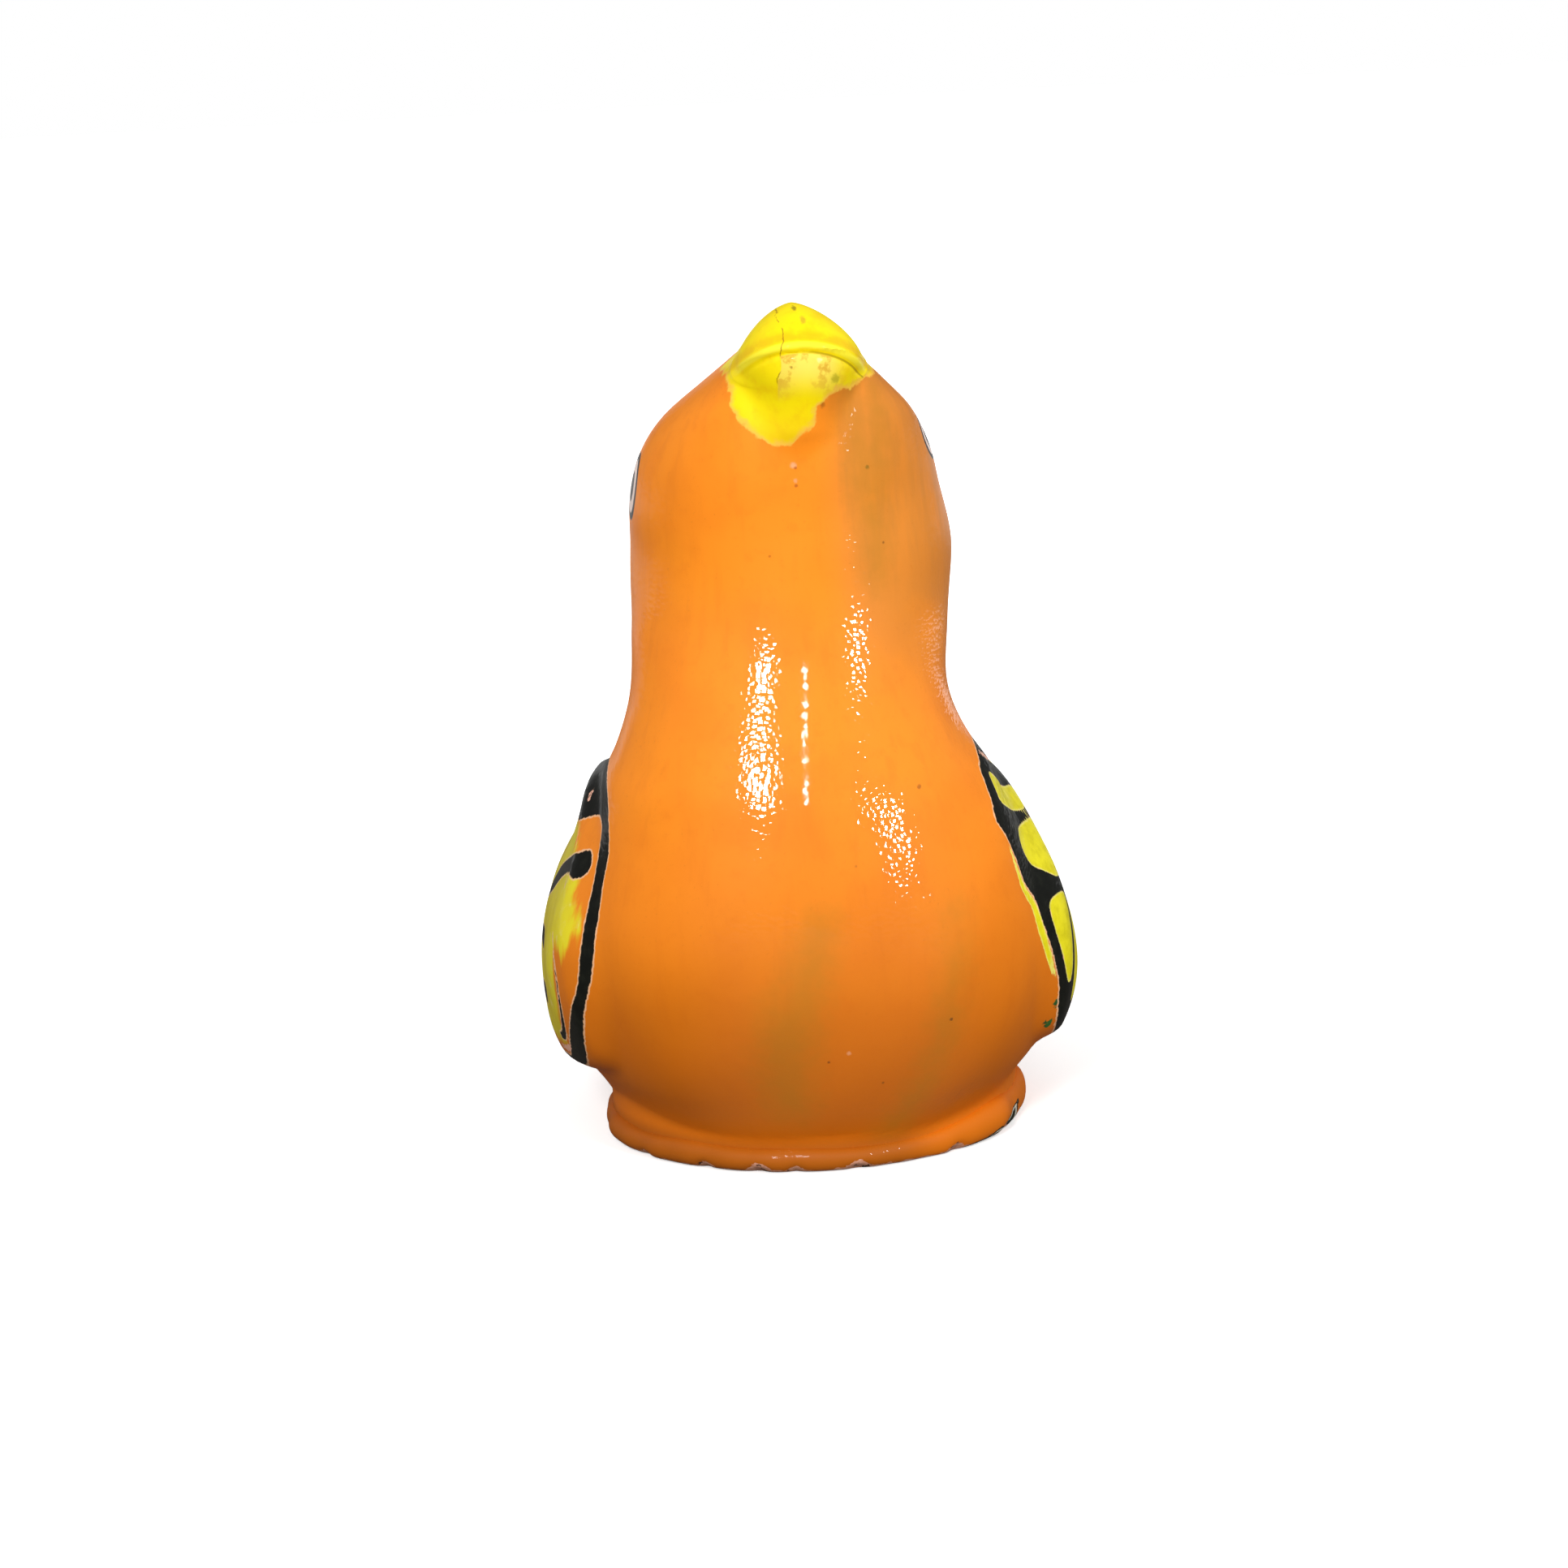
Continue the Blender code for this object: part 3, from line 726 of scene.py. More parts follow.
# %% A chart of the body
points = np.empty(len(mesh.vertices) * 3)
mesh.vertices.foreach_get("co", points)
points = points.reshape(-1, 3) / MM
x, y, z = points.T
CHART_MIDDLE = -2.0     # the chart turns about an upright line at this y
round_from_breast = np.degrees(np.arctan2(np.abs(x), -(y - CHART_MIDDLE)))
reach = np.hypot(x, y - CHART_MIDDLE)
FAR = -9.0


def on_chart(side):
    """Points of one side as (way round in mm at their own distance from the middle line, height), the
    mm in a degree there, and which points of the mesh they are."""
    chosen = np.flatnonzero(x * side > 0) if side else np.arange(len(x))
    degree = np.radians(1) * reach[chosen]
    turn = round_from_breast[chosen] * (1 if side else np.sign(x[chosen]))
    return np.stack([turn, z[chosen]], axis=1), degree, chosen


def stroke(side, rows):
    """Signed distance to a brush stroke of rows (degrees, height, half width): the half width there
    less the distance to its middle line."""
    curve = smooth_through(rows, 6)
    places, degree, chosen = on_chart(side)
    away, along = near_line(places, curve[:, :2], degree)
    half = np.interp(along, np.arange(len(curve)), curve[:, 2])
    result = np.full(len(x), FAR)
    result[chosen] = half - away
    return result


def field(side, rows, steps=6):
    """Signed distance to the edge of a closed painted field of rows (degrees, height)."""
    outline = closed_curve(rows, steps)
    places, degree, chosen = on_chart(side)
    away, _ = near_line(places, np.vstack([outline, outline[:1]]), degree)
    inside = inside_shape(places, outline) > 0
    result = np.full(len(x), FAR)
    result[chosen] = np.where(inside, away, -away)
    return result


def union(*marks):
    """The outline round several marks: the largest of their signed distances."""
    return np.max(marks, axis=0)


print("the chart goes round to", round_from_breast.max().round(1), "degrees from the breast")

# %% [markdown]
# ## The right wing: yellow cells on black
#
# The whole wing was laid in black and filled with yellow cells, fat ones at the shoulder and long
# ones like flight feathers towards the tail. Only the first three show from the front. The others are
# out of the photo's view and go on in the same manner.

# %% Right wing
RIGHT_GROUND = ((62, 26.9), (53, 26.0), (49.6, 25.4), (48.4, 23.7), (46.5, 22.6), (48.6, 21.4),
                (50, 19.7), (51, 18.1), (53.8, 17.0), (55.2, 15.2), (58.3, 13.0), (61.2, 10.8),
                (63.2, 8.8), (67, 7.2), (78, 5.9), (97, 5.6), (128, 7.8), (145, 11.8), (162, 18.0),
                (147, 22.6), (124, 25.3), (97, 26.6), (78, 27.2))
RIGHT_CELLS = (
    ((54.9, 25.2), (53.9, 24.1), (54.2, 23.2), (64, 22.2), (76, 21.7), (84, 22.1), (83, 22.9),
     (74, 23.3), (63, 24.2)),
    ((69.8, 21.2), (60, 21.2), (56.6, 20.7), (56, 20.1), (57.6, 19.0), (62.2, 18.3), (67.5, 17.6),
     (76, 17.6), (85, 18.4), (86, 19.8), (78, 20.9)),
    ((67, 16.6), (61.2, 16.6), (58.6, 16.1), (59, 14.8), (61.6, 12.8), (64.3, 10.7), (66.4, 10.9),
     (67.4, 12.4), (68.3, 14.4), (68.6, 15.8)),
    ((73, 16.4), (70.9, 13.8), (69.2, 11.2), (70.2, 8.9), (76, 9.5), (86, 11.4), (94, 14.4), (92, 16.6),
     (82, 17.0)),
    ((91, 23.4), (100, 24.7), (120, 24.1), (141, 21.8), (150, 20.3), (135, 21.2), (115, 22.2),
     (98, 22.4)),
    ((92, 20.6), (104, 21.5), (125, 20.8), (146, 18.9), (156, 17.8), (140, 18.1), (118, 18.9),
     (100, 19.3)),
    ((98, 17.2), (108, 18.2), (128, 17.4), (151, 16.3), (140, 14.9), (120, 15.3), (104, 15.5)),
    ((98, 13.8), (110, 14.5), (128, 13.8), (143, 12.9), (130, 11.7), (112, 11.8), (101, 12.2)),
    ((80, 8.3), (95, 10.2), (112, 10.8), (127, 9.9), (112, 8.4), (96, 7.3), (84, 7.0)),
)
RIGHT_BAND = ((48.0, 21.2, 0.05), (48.9, 19.4, 0.16), (49.8, 17.9, 0.26), (52.6, 16.6, 0.32),
              (54.1, 14.9, 0.34), (56.8, 12.9, 0.28), (60.0, 11.0, 0.06))
RIGHT_CHIP = ((57, 26.5, 0.10), (62, 25.9, 0.24), (67, 25.3, 0.12))
GREEN_SMEARS = (
    ((60.4, 9.6, 0.05), (61.9, 9.2, 0.22), (63.0, 8.9, 0.10)),
    ((60.6, 8.3, 0.04), (63.0, 7.8, 0.20)),
    ((61.4, 8.9, 0.03), (62.8, 9.7, 0.10)),
)

right_cells = union(*[field(1, cell) for cell in RIGHT_CELLS])
black_right = np.minimum(field(1, RIGHT_GROUND), -right_cells)
band_right = stroke(1, RIGHT_BAND)
print("right wing:", len(RIGHT_CELLS), "cells")

# %% [markdown]
# ## The left wing: black strokes on yellow
#
# Here the painter left the wing orange and yellow, drew a border down its front, and pulled comma
# strokes backwards, each starting as a fat drop and ending in a hair line.

# %% Left wing
LEFT_BORDER = ((99, 26.4), (80, 26.0), (67, 25.1), (61.2, 23.3), (58.1, 21.7), (57.6, 19.8),
               (56.9, 17.7), (57.3, 14.8), (59.1, 13.0), (62.5, 10.9), (64.7, 9.4), (68.4, 7.6),
               (74, 6.5), (81.5, 6.3), (78, 7.3), (74.6, 8.2), (67.3, 10.5), (62.3, 12.8), (60.6, 15.3),
               (60.7, 17.5), (61.6, 19.8), (64.2, 21.9), (66.6, 23.0), (72.1, 23.35), (80.3, 22.8),
               (88, 22.3), (96, 22.7), (108, 24.0), (125, 24.3), (140, 22.8), (155, 19.6), (161, 18.2),
               (152, 21.6), (135, 24.9), (115, 26.3))
LEFT_COMMA = ((65.1, 20.4), (66.4, 21.05), (69.2, 21.25), (74, 20.85), (84.6, 19.9), (101, 18.3),
              (113, 16.2), (118, 14.0), (109, 15.7), (97, 17.1), (86.8, 18.5), (77.5, 19.45),
              (74.0, 19.6), (71, 19.45), (68.2, 19.6), (65.8, 19.95))
LEFT_STROKES = (
    ((74.2, 15.7, 0.03), (71.6, 14.1, 0.08), (70.8, 12.4, 0.13), (72.9, 10.2, 0.20), (76.9, 8.6, 0.30),
     (80.0, 8.2, 0.25)),
    ((80, 6.4, 0.30), (97, 6.2, 0.34), (120, 7.2, 0.30), (140, 10.8, 0.28), (152, 14.4, 0.24),
     (161, 18.0, 0.16)),
    ((99, 21.4, 0.75), (106, 21.2, 0.62), (122, 20.0, 0.34), (140, 17.8, 0.10)),
    ((97, 13.7, 0.70), (104, 13.6, 0.58), (118, 13.0, 0.32), (134, 12.6, 0.08)),
    ((89, 10.4, 0.60), (96, 10.3, 0.52), (110, 9.9, 0.30), (126, 10.2, 0.08)),
    ((75.7, 19.15, 0.05), (75.1, 18.6, 0.08)),
)
LEFT_YELLOW = ((92, 22.8), (80.2, 21.6), (73.2, 20.5), (69.6, 19.6), (65.8, 18.3), (63.5, 17.4),
               (61.8, 16.6), (64, 15.7), (67.2, 14.8), (71, 14.5), (72.4, 13.0), (73.4, 11.0),
               (77.4, 9.0), (82, 7.7), (97, 7.2), (120, 8.6), (140, 12.2), (156, 17.4), (140, 21.4),
               (120, 23.2), (106, 23.4))
LEFT_CHIPS = (
    ((84.6, 23.7, 0.16), (87.4, 24.1, 0.20)),
    ((75.6, 7.75, 0.10), (79.5, 7.35, 0.24), (85, 7.1, 0.14)),
)

left_yellow = field(-1, LEFT_YELLOW)
black_left = union(field(-1, LEFT_BORDER), field(-1, LEFT_COMMA),
                   *[stroke(-1, rows) for rows in LEFT_STROKES])
print("left wing:", len(LEFT_STROKES), "strokes")

# %% [markdown]
# ## Bill, eyes, tail and wear
#
# The bill's yellow was dabbed over its root and runs down the throat in an uneven tongue. The eyes
# only show as slivers at both sides of the head: a dark ring, white, and a dark pupil, one set lower
# and further back than the other. Olive streaks on the breast are the dark underpaint that shows
# where the orange was brushed thin.

# %% Bill and other fields
BILL_PATCH = ((-5.6, 53.5), (-4.75, 52.2), (-4.6, 51.0), (-4.5, 49.9), (-3.75, 48.9), (-2.7, 48.1),
              (-1.9, 47.7), (-0.7, 47.7), (-0.45, 48.3), (0.5, 49.1), (0.95, 50.0), (1.7, 50.9),
              (3.5, 51.2), (4.4, 51.6), (5.6, 53.0), (5, 60), (-5, 60))
YELLOW_ENDS_BEHIND = -2.6     # mm along the bill, from the corners of the mouth towards the nape
# side, y, height, half width, half height
EYES = ((1, -5.3, 46.9, 1.75, 1.5), (-1, -2.5, 44.4, 2.0, 2.2))
OLIVE_STREAKS = (
    ((16, 50.6, 0.3), (18, 48.0, 0.5), (20.5, 45.0, 0.55), (22.9, 42.5, 0.4), (22.2, 39.0, 0.15)),
    ((29, 50.6, 0.15), (25.2, 46.6, 0.32), (22.5, 43.0, 0.25), (21.3, 40.0, 0.1)),
    ((27.8, 17.6, 0.12), (25.8, 12.2, 0.26), (24.1, 7.1, 0.3), (17.2, 2.8, 0.35)),
    ((-4.1, 17.4, 0.5), (-8.2, 13.6, 1.1), (-12.3, 10.8, 1.4), (-13.8, 5.5, 1.0)),
)
TAIL_GREEN = (23.5, 0.04)     # y where the green starts, and how much further back per x^2
RIM_ZONE = (2.6, 12.4)        # the foot's rim lies under this height and outside this radius
PAINT_CHIPS = (1.6, 1.5, 0.10)    # the paint's chips against the clay's: height, width, and more
DARK_RIM = (-50, -20)         # degrees round the foot between which its lower edge is dark

front = np.stack([x, z], axis=1)
_, along_bill = mouth_height(points)
bill_patch = inside_shape(front, closed_curve(BILL_PATCH, 5))
bill_yellow = np.minimum(bill_patch, along_bill - YELLOW_ENDS_BEHIND)
bill_yellow = np.where(y < 0, bill_yellow, FAR)
eye = np.full(len(x), 9.0)
for side, at_y, at_z, wide, tall in EYES:
    ring = np.hypot((y - at_y) / wide, (z - at_z) / tall)
    eye = np.where(x * side > 5, np.minimum(eye, ring), eye)
olive = union(*[stroke(0, rows) for rows in OLIVE_STREAKS])
green = union(*[stroke(1, rows) for rows in GREEN_SMEARS], y - TAIL_GREEN[0] - TAIL_GREEN[1] * x ** 2)
chips = union(stroke(1, RIGHT_CHIP), *[stroke(-1, rows) for rows in LEFT_CHIPS])

degrees = np.degrees(np.arctan2(y, x))
near_rim = (z < RIM_ZONE[0]) & (np.hypot(x, y) > RIM_ZONE[1])
wider = [(at, rise, half * PAINT_CHIPS[1]) for at, rise, half in RIM_CHIPS]
chipped = PAINT_CHIPS[0] * bumps(degrees, wider)
rim_chips = np.where(near_rim, chipped + PAINT_CHIPS[2] - z, FAR)
dark_top = 0.15 + (degrees - DARK_RIM[0]) / 22
rim_dark = np.where(near_rim, np.minimum(dark_top - z, (DARK_RIM[1] - degrees) / 12), FAR)


def keep_on_skin(marks):
    """Store each mark as a number at every point of the mesh."""
    for name, values in marks.items():
        layer = mesh.attributes.new(name, 'FLOAT', 'POINT')
        layer.data.foreach_set("value", values.astype(np.float32))
    print("marks on the skin:", ", ".join(marks))


keep_on_skin({
    "rim_chips": rim_chips, "rim_dark": rim_dark, "black_paint": union(black_right, black_left),
    "yellow_cells": union(right_cells, band_right), "brushed_yellow": left_yellow,
    "bill_yellow": bill_yellow, "green_paint": green, "olive_wear": olive, "pale_chips": chips,
    "eye_ring": eye,
})

# %% [markdown]
# ## Lines too fine for the mesh
#
# The crack along the mould's seam is a tenth of a millimetre wide, finer than the mesh. Its signed
# distance from side to side is smooth all the same, so the attribute holds that, and the shader draws
# the line where it is near nothing. The same is done with the height over the mouth, which places the
# bead's painted shadows and its painted highlight.

# %% Seam and mouth
SEAM = ((51.6, -1.75), (52.1, -1.70), (52.6, -1.54), (53.6, -1.51), (54.5, -1.27), (55.2, -1.25),
        (55.6, -1.47), (56.1, -1.29), (57, -1.2))
BILL_FRONT = (-9, 47, 6)      # forward of this y, above this height, and within this x
over_mouth, _ = mouth_height(points)
on_front = (y < BILL_FRONT[0]) & (z > BILL_FRONT[1]) & (np.abs(x) < BILL_FRONT[2])
seam_across = np.where(on_front, x - cubic_through(SEAM, z), 9.0)
keep_on_skin({"seam_across": seam_across, "over_mouth": np.where(y < -7, over_mouth, 9.0)})

# %% [markdown]
# ## Painted and varnished clay
#
# The real coats are a thin white ground, poster paint brushed on in one pass, and a clear spirit
# varnish. So the shader is built the same way, one coat over the other. A coat needs a colour and a
# place. The place is a smooth step on some value, such as a mark's signed distance, the height, or a
# noise, and where several steps hold at once they are multiplied. Map Range does this in one node,
# because its To Max can be the step before it.

# %% A coat of paint
def cover(*steps, most=1.0):
    """How much of a coat lies at a place: smooth steps from 0 at a start to 1 at an end, all multiplied
    by the most that there may be."""
    for value, start, end in steps:
        most = node("MapRange", {"interpolation_type": "SMOOTHSTEP"}, i0=value, i1=start,
                    i2=end, i3=0.0, i4=most)
    return most


def coat(under, over, *steps, most=1.0):
    """Lay one colour over another, as much as the steps say."""
    under, over = (linear(colour) if isinstance(colour, str) else colour for colour in (under, over))
    return node("Mix", {"data_type": "RGBA"}, 2, i0=cover(*steps, most=most), i6=under, i7=over)


def coats(colour, *rows):
    """Lay coats one after another. A row is a colour, the most there may be of it, and its steps."""
    for shade, most, *steps in rows:
        colour = coat(colour, shade, *steps, most=most)
    return colour


def mark_of(name):
    """The number that the mesh keeps at each point under a mark's name."""
    return node("Attribute", {"attribute_name": name}, "Fac")


def brushed_edge(mark, wobble, reach):
    """A mark's signed distance, moved in and out by up to the reach as a brush wobbles."""
    shift = node("MapRange", i0=wobble, i1=0.25, i2=0.75, i3=-reach, i4=reach)
    return node("Math", "ADD", i0=mark_of(mark), i1=shift)


def in_millimetres():
    """Object coordinates in millimetres, so that a texture's scale is one over its real size."""
    place = node("TexCoord", out="Object")
    return node("VectorMath", "SCALE", i0=place, i3=1 / MM)


tree = empty_tree(painted)
place = in_millimetres()
across_clay, _, height = node("SeparateXYZ", i0=place).node.outputs
upright = node("Mapping", Vector=place, Scale=(1, 1, 1 / 7))
wobble = node("TexNoise", Vector=place, Scale=1 / 0.9, Detail=3.0)
fine_wobble = node("TexNoise", Vector=place, Scale=1 / 0.35)
cloud = node("TexNoise", Vector=place, Scale=1 / 6, Detail=3.0)
grain = node("TexNoise", Vector=place, Scale=1 / 0.25, Roughness=0.7)
chalk = node("TexNoise", Vector=place, Scale=1 / 1.1, Detail=4.0, Roughness=0.6)
brush = node("TexNoise", Vector=upright, Scale=1 / 1.2, Detail=3.0, Roughness=0.6)
print("paint patterns are 0.25 to 8 mm in size")

# %% [markdown]
# ## Orange
#
# The orange went on with a soft brush from the head down. It is a little thicker in some places and
# browner on the right of the neck and head. Painted shade darkens it towards the foot, and more painted
# shade darkens the rim's lower edge on the left and in front. Where it is thinnest, the dark underpaint
# shows through as olive streaks.

# %% Orange
streak = brushed_edge("olive_wear", wobble, 0.5)
orange = coats(
    "#ff921c", ("#f68618", 0.6, (cloud, 0.40, 0.68)), ("#ee7f14", 0.3, (chalk, 0.52, 0.75)),
    # painted shade: #d26b08 darkens the orange from a height of 30 mm down to the foot
    ("#ee8218", 0.5, (brush, 0.48, 0.78)), ("#d26b08", 0.85, (height, 30.0, 5.0)),
    ("#e28b32", 0.8, (across_clay, 0.2, 4.2), (height, 28.0, 38.0), (cloud, 0.20, 0.55)),
    ("#cb8030", 0.6, (across_clay, 0.4, 3.0), (height, 35.0, 43.0), (brush, 0.20, 0.90)),
    ("#d0700f", 0.35, (grain, 0.60, 0.82)), ("#b07a1a", 0.45, (streak, -2.2, 1.3), (cloud, 0.15, 0.50)),
    # painted shade: #a8580e darkens the rim's lower edge, on the left and in front
    ("#a8580e", 0.8, (height, 2.5, 1.5), (across_clay, 7.5, 3.5)))
print("nine coats over the first orange")

# %% [markdown]
# ## The bill's yellow
#
# Thick yellow over the orange: pure on the left, chalky and scuffed right of the seam and under the
# mouth, with a painted ochre shadow over the bead, a painted highlight along the bead, a thin painted
# shadow under the bead on the right, and a rim where the yellow thins out into the orange.

# %% Yellow bill
patch = brushed_edge("bill_yellow", wobble, 0.30)
across, above = mark_of("seam_across"), mark_of("over_mouth")
chalky = cover((across, -0.02, 0.08), (across, 4.6, 2.8), (above, -0.20, -0.35),
               (above, -3.0, -1.0), most=0.8)
yellow = coats(
    "#ffe600", ("#f7d000", 0.8, (chalk, 0.42, 0.78)), ("#f3c60c", 0.75, (height, 50.6, 47.6)),
    ("#fadf62", chalky), ("#dba524", chalky, (chalk, 0.50, 0.62)),
    # painted shadow: an ochre band over the bead
    ("#e6ae04", 0.55, (above, 0.42, 0.75), (above, 1.6, 0.9), (chalk, 0.2, 0.5)),
    # painted highlight: a pale yellow line along the bead
    ("#fff23c", 0.7, (above, -0.10, 0.10), (above, 0.55, 0.35), (patch, 0.3, 1.0)),
    ("#f9bb52", 0.75, (patch, 0.42, 0.02)))
shaken = node("MapRange", i0=fine_wobble, i3=-0.14, i4=0.14)
shaken = node("Math", "ADD", i0=across, i1=shaken)
from_crack = node("Math", "ABSOLUTE", i0=shaken)
colour = coats(
    orange, (yellow, 1.0, (patch, -0.08, 0.08)),
    ("#94660c", 0.7, (from_crack, 0.06, 0.02), (wobble, 0.38, 0.52), (height, 51.5, 51.9)),
    # painted shadow: a thin dark line under the bead, on its right half
    ("#94780c", 0.6, (above, -0.30, -0.22), (above, -0.10, -0.16), (across_clay, -1.0, 1.2),
     (patch, 0.0, 0.3)))
print("the crack is", 2 * 0.06, "mm wide")

# %% [markdown]
# ## The wings' colours
#
# The left wing's yellow was brushed thinly over the orange, so its lower edge is streaky. The right
# wing's cells and golden band are thick paint laid beside the black. A pale line of the white ground
# shows where black and orange don't quite meet. The tail is leaf green.

# %% Wings
washed = coats("#e8d822", ("#d2bc1c", 1.0, (cloud, 0.35, 0.65)), ("#efe08e", 0.6, (chalk, 0.55, 0.8)))
leaf = coat("#1f4a26", "#356a2c", (brush, 0.35, 0.7))
black = brushed_edge("black_paint", fine_wobble, 0.06)
inked = cover((black, -0.04, 0.04))
ink = coat("#10120d", "#1e2018", (chalk, 0.45, 0.8))
cell = brushed_edge("yellow_cells", fine_wobble, 0.05)
thick = coats("#f0e41a", ("#dccf08", 1.0, (chalk, 0.35, 0.7)), ("#f6ee7e", 0.8, (cell, 0.15, 0.0)))
colour = coats(
    colour, (washed, 1.0, (brushed_edge("brushed_yellow", brush, 1.0), -0.5, 0.6)),
    (leaf, 1.0, (brushed_edge("green_paint", wobble, 0.35), -0.05, 0.05)),
    ("#f8cba0", 0.8, (black, -0.16, -0.06), (black, -0.30, -0.20)), (ink, inked),
    (thick, 1.0, (cell, -0.04, 0.04)))
print("three kinds of wing paint and the tail's green")

# %% [markdown]
# ## Eyes, chips and specks
#
# Each eye is three dots on top of each other. Dirt specks, pinholes and pale crumbs of paint are small
# balls in space, so they stay round on the curved skin, and so are the painted shadows just under two of
# the crumbs. Paint is missing in a few chips and along the foot's edge, where the pink clay shows.

# %% Eyes and wear
ring = mark_of("eye_ring")
for shade, size in (("#1b1512", 1.0), ("#f3dcd2", 0.78), ("#1b1512", 0.44)):
    colour = coat(colour, shade, (ring, size + 0.05, size - 0.03))
colour = coat(colour, "#f0b79c", (brushed_edge("pale_chips", fine_wobble, 0.12), -0.04, 0.04))
# place, radius and colour
SPECKS = (
    ((5.96, -15.77, 25.66), 0.16, "#9c5a14"), ((-2.68, -12.60, 40.68), 0.10, "#b8660f"),
    ((4.77, -11.74, 41.01), 0.10, "#7c4a14"), ((7.29, -16.71, 10.47), 0.13, "#5a3a14"),
    ((-0.83, -17.16, 8.32), 0.10, "#7a4010"), ((0.48, -17.41, 8.89), 0.16, "#f0a878"),
    ((1.40, -18.02, 21.24), 0.09, "#c06a18"), ((2.75, -16.22, 6.45), 0.09, "#8a5010"),
    ((3.92, -11.76, 45.93), 0.15, "#7d6416"), ((1.08, -12.12, 50.18), 0.22, "#a05a14"),
    # painted shadows: the #a8541a specks in the next two rows lie just under pale crumbs, where their
    # shadows fall
    ((-0.90, -12.49, 46.40), 0.22, "#f6b48a"), ((-0.78, -12.52, 46.22), 0.12, "#a8541a"),
    ((-0.80, -12.56, 45.40), 0.16, "#f2a878"), ((-0.78, -12.56, 45.10), 0.13, "#a8541a"),
    ((-0.88, -13.10, 52.75), 0.12, "#7a6414"), ((1.93, -12.54, 51.83), 0.34, "#b0a21c"),
    ((0.14, -12.49, 55.57), 0.22, "#c8a024"), ((-0.28, -11.38, 56.22), 0.16, "#6e5c14"),
)
flat = node("Mapping", Vector=place, Scale=(1, 0.1, 1))
for at, size, shade in SPECKS:
    at = (at[0], at[1] * 0.1, at[2])
    away = node("VectorMath", "DISTANCE", "Value", i0=flat, i1=at)
    ragged = node("Math", "MULTIPLY_ADD", i0=grain, i1=size * 1.2, i2=away)
    colour = coat(colour, shade, (ragged, size * 1.9, size * 1.0), most=0.7)
earth = coat("#cf8f72", "#e2a98c", (grain, 0.3, 0.7))
worn_height = node("Math", "MULTIPLY_ADD", i0=wobble, i1=-0.5, i2=height)
dark = brushed_edge("rim_dark", wobble, 0.15)
colour = coats(
    colour, (earth, 1.0, (worn_height, 0.0, -0.08)), ("#1c2616", 1.0, (dark, -0.04, 0.04)),
    ("#ded8c6", 1.0, (dark, 0.10, 0.16), (dark, 0.32, 0.26), (wobble, 0.35, 0.5)),
    (coat(earth, "#3a2414", (chalk, 0.55, 0.60)), 1.0,
     (brushed_edge("rim_chips", fine_wobble, 0.12), -0.03, 0.03)))
print("the paint shader has", len(tree.nodes), "nodes")

# %% [markdown]
# ## Varnish
#
# Spirit varnish dries to a glossy skin with an orange peel: shallow domes a third of a millimetre
# across. That is why the windows' reflections break up into glittering dots while the paint under
# them looks smooth. The varnish is the coat of the Principled shader. Its domes are a bump of their
# own, with the square of the distance to a cell's middle as height: a round dome mirrors a window as
# one crisp dot, where a cone would smear it. The domes are steep on the right of the breast and
# nearly flat in its middle. The varnish lies thick in front and was wiped thin on the head and sides.

# %% Varnish
swell = node("TexNoise", Vector=place, Scale=1 / 2.0)
uneven = node("Bump", Strength=1.0, Distance=0.011 * MM, Height=swell)
paint_edge = node("Bump", Strength=1.0, Distance=0.03 * MM, Height=inked, Normal=uneven)
peel = node("TexVoronoi", {"feature": "F1"}, Vector=place, Scale=1 / 0.34)
left_domes = node("MapRange", i0=across_clay, i1=-2.7, i2=-1.8, i3=0.42, i4=0.05)
steep = node("MapRange", i0=across_clay, i1=-0.6, i2=1.6, i3=0.0, i4=0.5)
steep = node("Math", "ADD", i0=left_domes, i1=steep)
dome = node("Math", "POWER", i0=peel, i1=2.0)
domes = node("Bump", Strength=steep, Distance=0.04 * MM, Height=dome, Normal=uneven)
pooled = cover((height, 40.0, 35.0), (height, 2.4, 4.5))
sideways = node("Math", "ABSOLUTE", i0=across_clay)
thick = node("MapRange", i0=sideways, i1=6.5, i2=10.5, i3=1.0, i4=0.12)
thickness = node("MapRange", i0=pooled, i3=0.1, i4=thick)
shader = node("BsdfPrincipled", Base_Color=colour, Normal=paint_edge, Roughness=0.55,
              Specular_IOR_Level=0.15, Coat_Weight=thickness, Coat_Roughness=0.04, Coat_IOR=1.5,
              Coat_Normal=domes)
node("OutputMaterial", Surface=shader)
print("varnish domes of a third of a millimetre")

# %% [markdown]
# ## Bare clay inside
#
# Paint and varnish stop at the openings. The windway, the window and the hollow show the clay as it
# came out of the fire: matt, pinkish brown, with fine sand in it.

# %% Bare terracotta
tree = empty_tree(bare)
place = in_millimetres()
sand = node("TexNoise", Vector=place, Scale=1 / 0.33, Detail=4.0, Roughness=0.65)
fire = node("TexNoise", Vector=place, Scale=1 / 4.0)
colour = coat("#c07a5a", "#d89a7a", (fire, 0.35, 0.65))
colour = coat(colour, "#a86448", (sand, 0.52, 0.75), most=0.6)
pits = node("Bump", Strength=0.7, Distance=0.08 * MM, Height=sand)
clay = node("BsdfPrincipled", Base_Color=colour, Normal=pits, Roughness=0.85)
node("OutputMaterial", Surface=clay)
print("sand of a third of a millimetre")

# %% [markdown]
# ## Camera, floor and light
#
# The photo looks down a little on a whistle that is tipped slightly to one side and turned a few
# degrees. The camera stands 28 cm away with a long lens.

# %% Camera
DISTANCE = 280.0
AIM = np.array([0.0, 0.0, 23.6])
ELEVATION = 11.25     # degrees over level
YAW = -6.0            # degrees round from the front, to the left
ROLL = math.radians(2.6)
PICTURE = 1932
PIXELS_PER_MM = 18.22
SENSOR = 36.0
AIM_PIXEL = (986.5, 958.9)



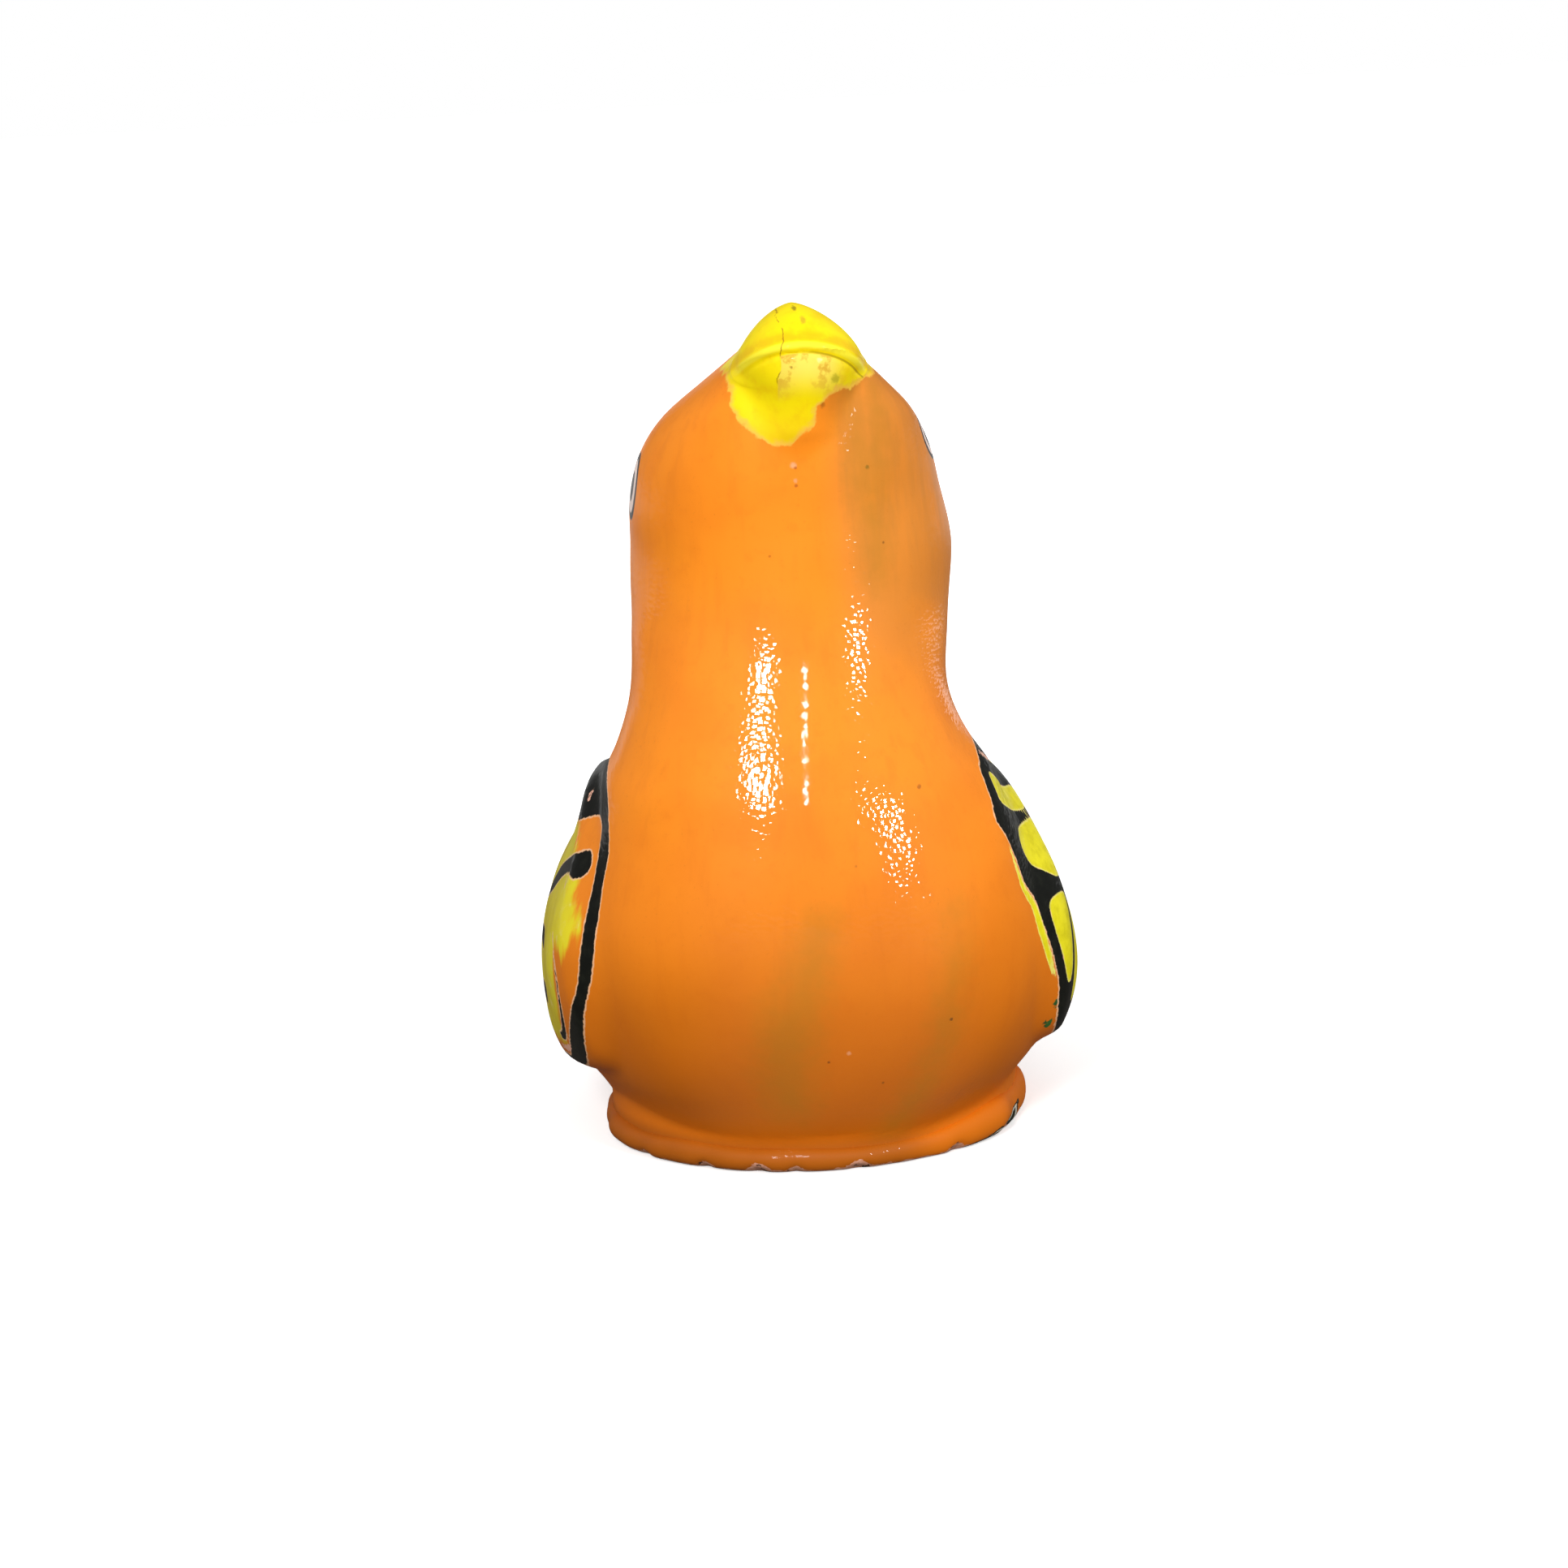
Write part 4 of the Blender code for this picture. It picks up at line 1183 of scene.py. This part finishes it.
def looking(degrees_round, degrees_up):
    """Directions for what stands so many degrees round and up from the front and faces the bird: to
    its side, upwards, and away from the bird."""
    turn, rise = math.radians(degrees_round), math.radians(degrees_up)
    side = np.array([math.cos(turn), math.sin(turn), 0.0])
    away = np.array([side[1] * math.cos(rise), -side[0] * math.cos(rise), math.sin(rise)])
    return side, np.cross(away, side), away


def set_up(name, data, aim, distance, side, up, away):
    """Put a camera or a lamp at a distance in mm from the place it aims at."""
    made = bpy.data.objects.new(name, data)
    bpy.context.scene.collection.objects.link(made)
    turn = Matrix(np.stack([side, up, away], axis=1).tolist()).to_4x4()
    made.matrix_world = Matrix.Translation(((aim + away * distance) * MM).tolist()) @ turn
    return made


level, upright, back = looking(YAW, ELEVATION)
right = level * math.cos(ROLL) - upright * math.sin(ROLL)
up = level * math.sin(ROLL) + upright * math.cos(ROLL)
lens = bpy.data.cameras.new("photo_camera")
lens.sensor_width = SENSOR
lens.lens = SENSOR * DISTANCE * PIXELS_PER_MM / PICTURE
lens.shift_x = (PICTURE / 2 - AIM_PIXEL[0]) / PICTURE
lens.shift_y = (AIM_PIXEL[1] - PICTURE / 2) / PICTURE
lens.clip_start = 0.01
bpy.context.scene.camera = set_up("photo_camera", lens, AIM, DISTANCE, right, up, back)
print("lens", round(lens.lens, 1), "mm")

# %% [markdown]
# ## Floor, backdrop and light
#
# The varnish on the breast mirrors two wide patches of light with a thin line between them. Three
# softboxes in front of the whistle give these, each placed where a mirror on the breast would look.
# The rest is soft light from above and from both sides, which reflections see only dimly. The floor
# is a plain pale sheet that keeps the shadow and runs out into white.

# %% World
ROOM = (0.38, 0.60)       # the room's brightness at the floor's height and overhead
SIDES = 2.1               # how much brighter it is at the left and right
FLAGS = 0.20              # share of it that reflections see, as with black flags round the set

bpy.context.scene.view_settings.view_transform = 'Standard'
world = bpy.data.worlds.new("studio")
bpy.context.scene.world = world
tree = empty_tree(world)


def sees_ground():
    """1 for rays from the camera, a reflection or glass, which meet the white ground, else 0."""
    path = node("LightPath").node.outputs
    seen = node("Math", "MAXIMUM", i0=path["Is Camera Ray"], i1=path["Is Glossy Ray"])
    return node("Math", "MAXIMUM", i0=seen, i1=path["Is Transmission Ray"])


across, depth, rise = node("SeparateXYZ", i0=node("TexCoord", out="Generated")).node.outputs
path = node("LightPath").node.outputs
dim = node("MapRange", i0=path["Is Glossy Ray"], i3=1.0, i4=FLAGS)
room = node("MapRange", i0=rise, i1=0.0, i2=0.9, i3=ROOM[0], i4=ROOM[1])
beside = node("Math", "ABSOLUTE", i0=across)
beside = node("MapRange", i0=beside, i1=0.35, i2=0.9, i3=1.0, i4=SIDES)
room = node("Math", "MULTIPLY", i0=room, i1=beside)
room = node("Math", "MULTIPLY", i0=room, i1=dim)
backdrop = cover((depth, 0.985, 0.999), most=sees_ground())
backdrop = node("Math", "MAXIMUM", i0=backdrop, i1=path["Is Camera Ray"])
strength = node("Mix", i0=backdrop, i2=room, i3=1.0)
ground = node("Background", Color=linear("#ffffff"), Strength=strength)
node("OutputWorld", Surface=ground)
print("room light from", ROOM[0], "to", ROOM[1])

# %% Floor
FLOOR_HALF = 2000.0
corners = np.array([[-1, -1, 0], [1, -1, 0], [1, 1, 0], [-1, 1, 0]]) * FLOOR_HALF
floor = placed("floor", corners, [[0, 1, 2, 3]])
paper = bpy.data.materials.new("pale_paper")
tree = empty_tree(paper)
spot = in_millimetres()
towards_back = node("SeparateXYZ", out=1, i0=spot)
path = node("LightPath").node.outputs
seen = cover((towards_back, 180.0, 400.0), most=sees_ground())
seen = node("Math", "MAXIMUM", i0=seen, i1=path["Is Camera Ray"])
away = node("VectorMath", "LENGTH", "Value", i0=spot)
lift = node("MapRange", {"interpolation_type": "SMOOTHSTEP"}, i0=away, i1=40.0, i2=260.0, i3=0.42,
            i4=1.0)
glow = node("Math", "MULTIPLY", i0=lift, i1=seen)
sheet = node("BsdfPrincipled", Base_Color=coat("#6e6a66", "#ffffff", most=seen), Roughness=0.9,
             Specular_IOR_Level=0.1, Emission_Color=linear("#ffffff"), Emission_Strength=glow)
node("OutputMaterial", Surface=sheet)
floor.data.materials.append(paper)


# %% Softboxes
BREAST_MIDDLE = np.array([0.0, -16.0, 28.0])
LAMP_DISTANCE = 600.0
# name, degrees round and up, width and height in mm, watts
LAMPS = (("left_window", -18.5, 26.5, 78, 136, 1.9), ("right_window", 35.5, 14.8, 60, 88, 1.2),
         ("thin_gap", 3, 26.5, 4, 136, 0.08))

for name, degrees_round, degrees_up, wide, tall, watts in LAMPS:
    lamp = bpy.data.lights.new(name, 'AREA')
    lamp.shape = 'RECTANGLE'
    lamp.size, lamp.size_y = wide * MM, tall * MM
    lamp.energy = watts
    set_up(name, lamp, BREAST_MIDDLE, LAMP_DISTANCE, *looking(degrees_round, degrees_up))
print("three lamps at", LAMP_DISTANCE, "mm")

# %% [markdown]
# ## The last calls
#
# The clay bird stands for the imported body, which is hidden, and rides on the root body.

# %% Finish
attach(whistle, "root")
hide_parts(NODE)
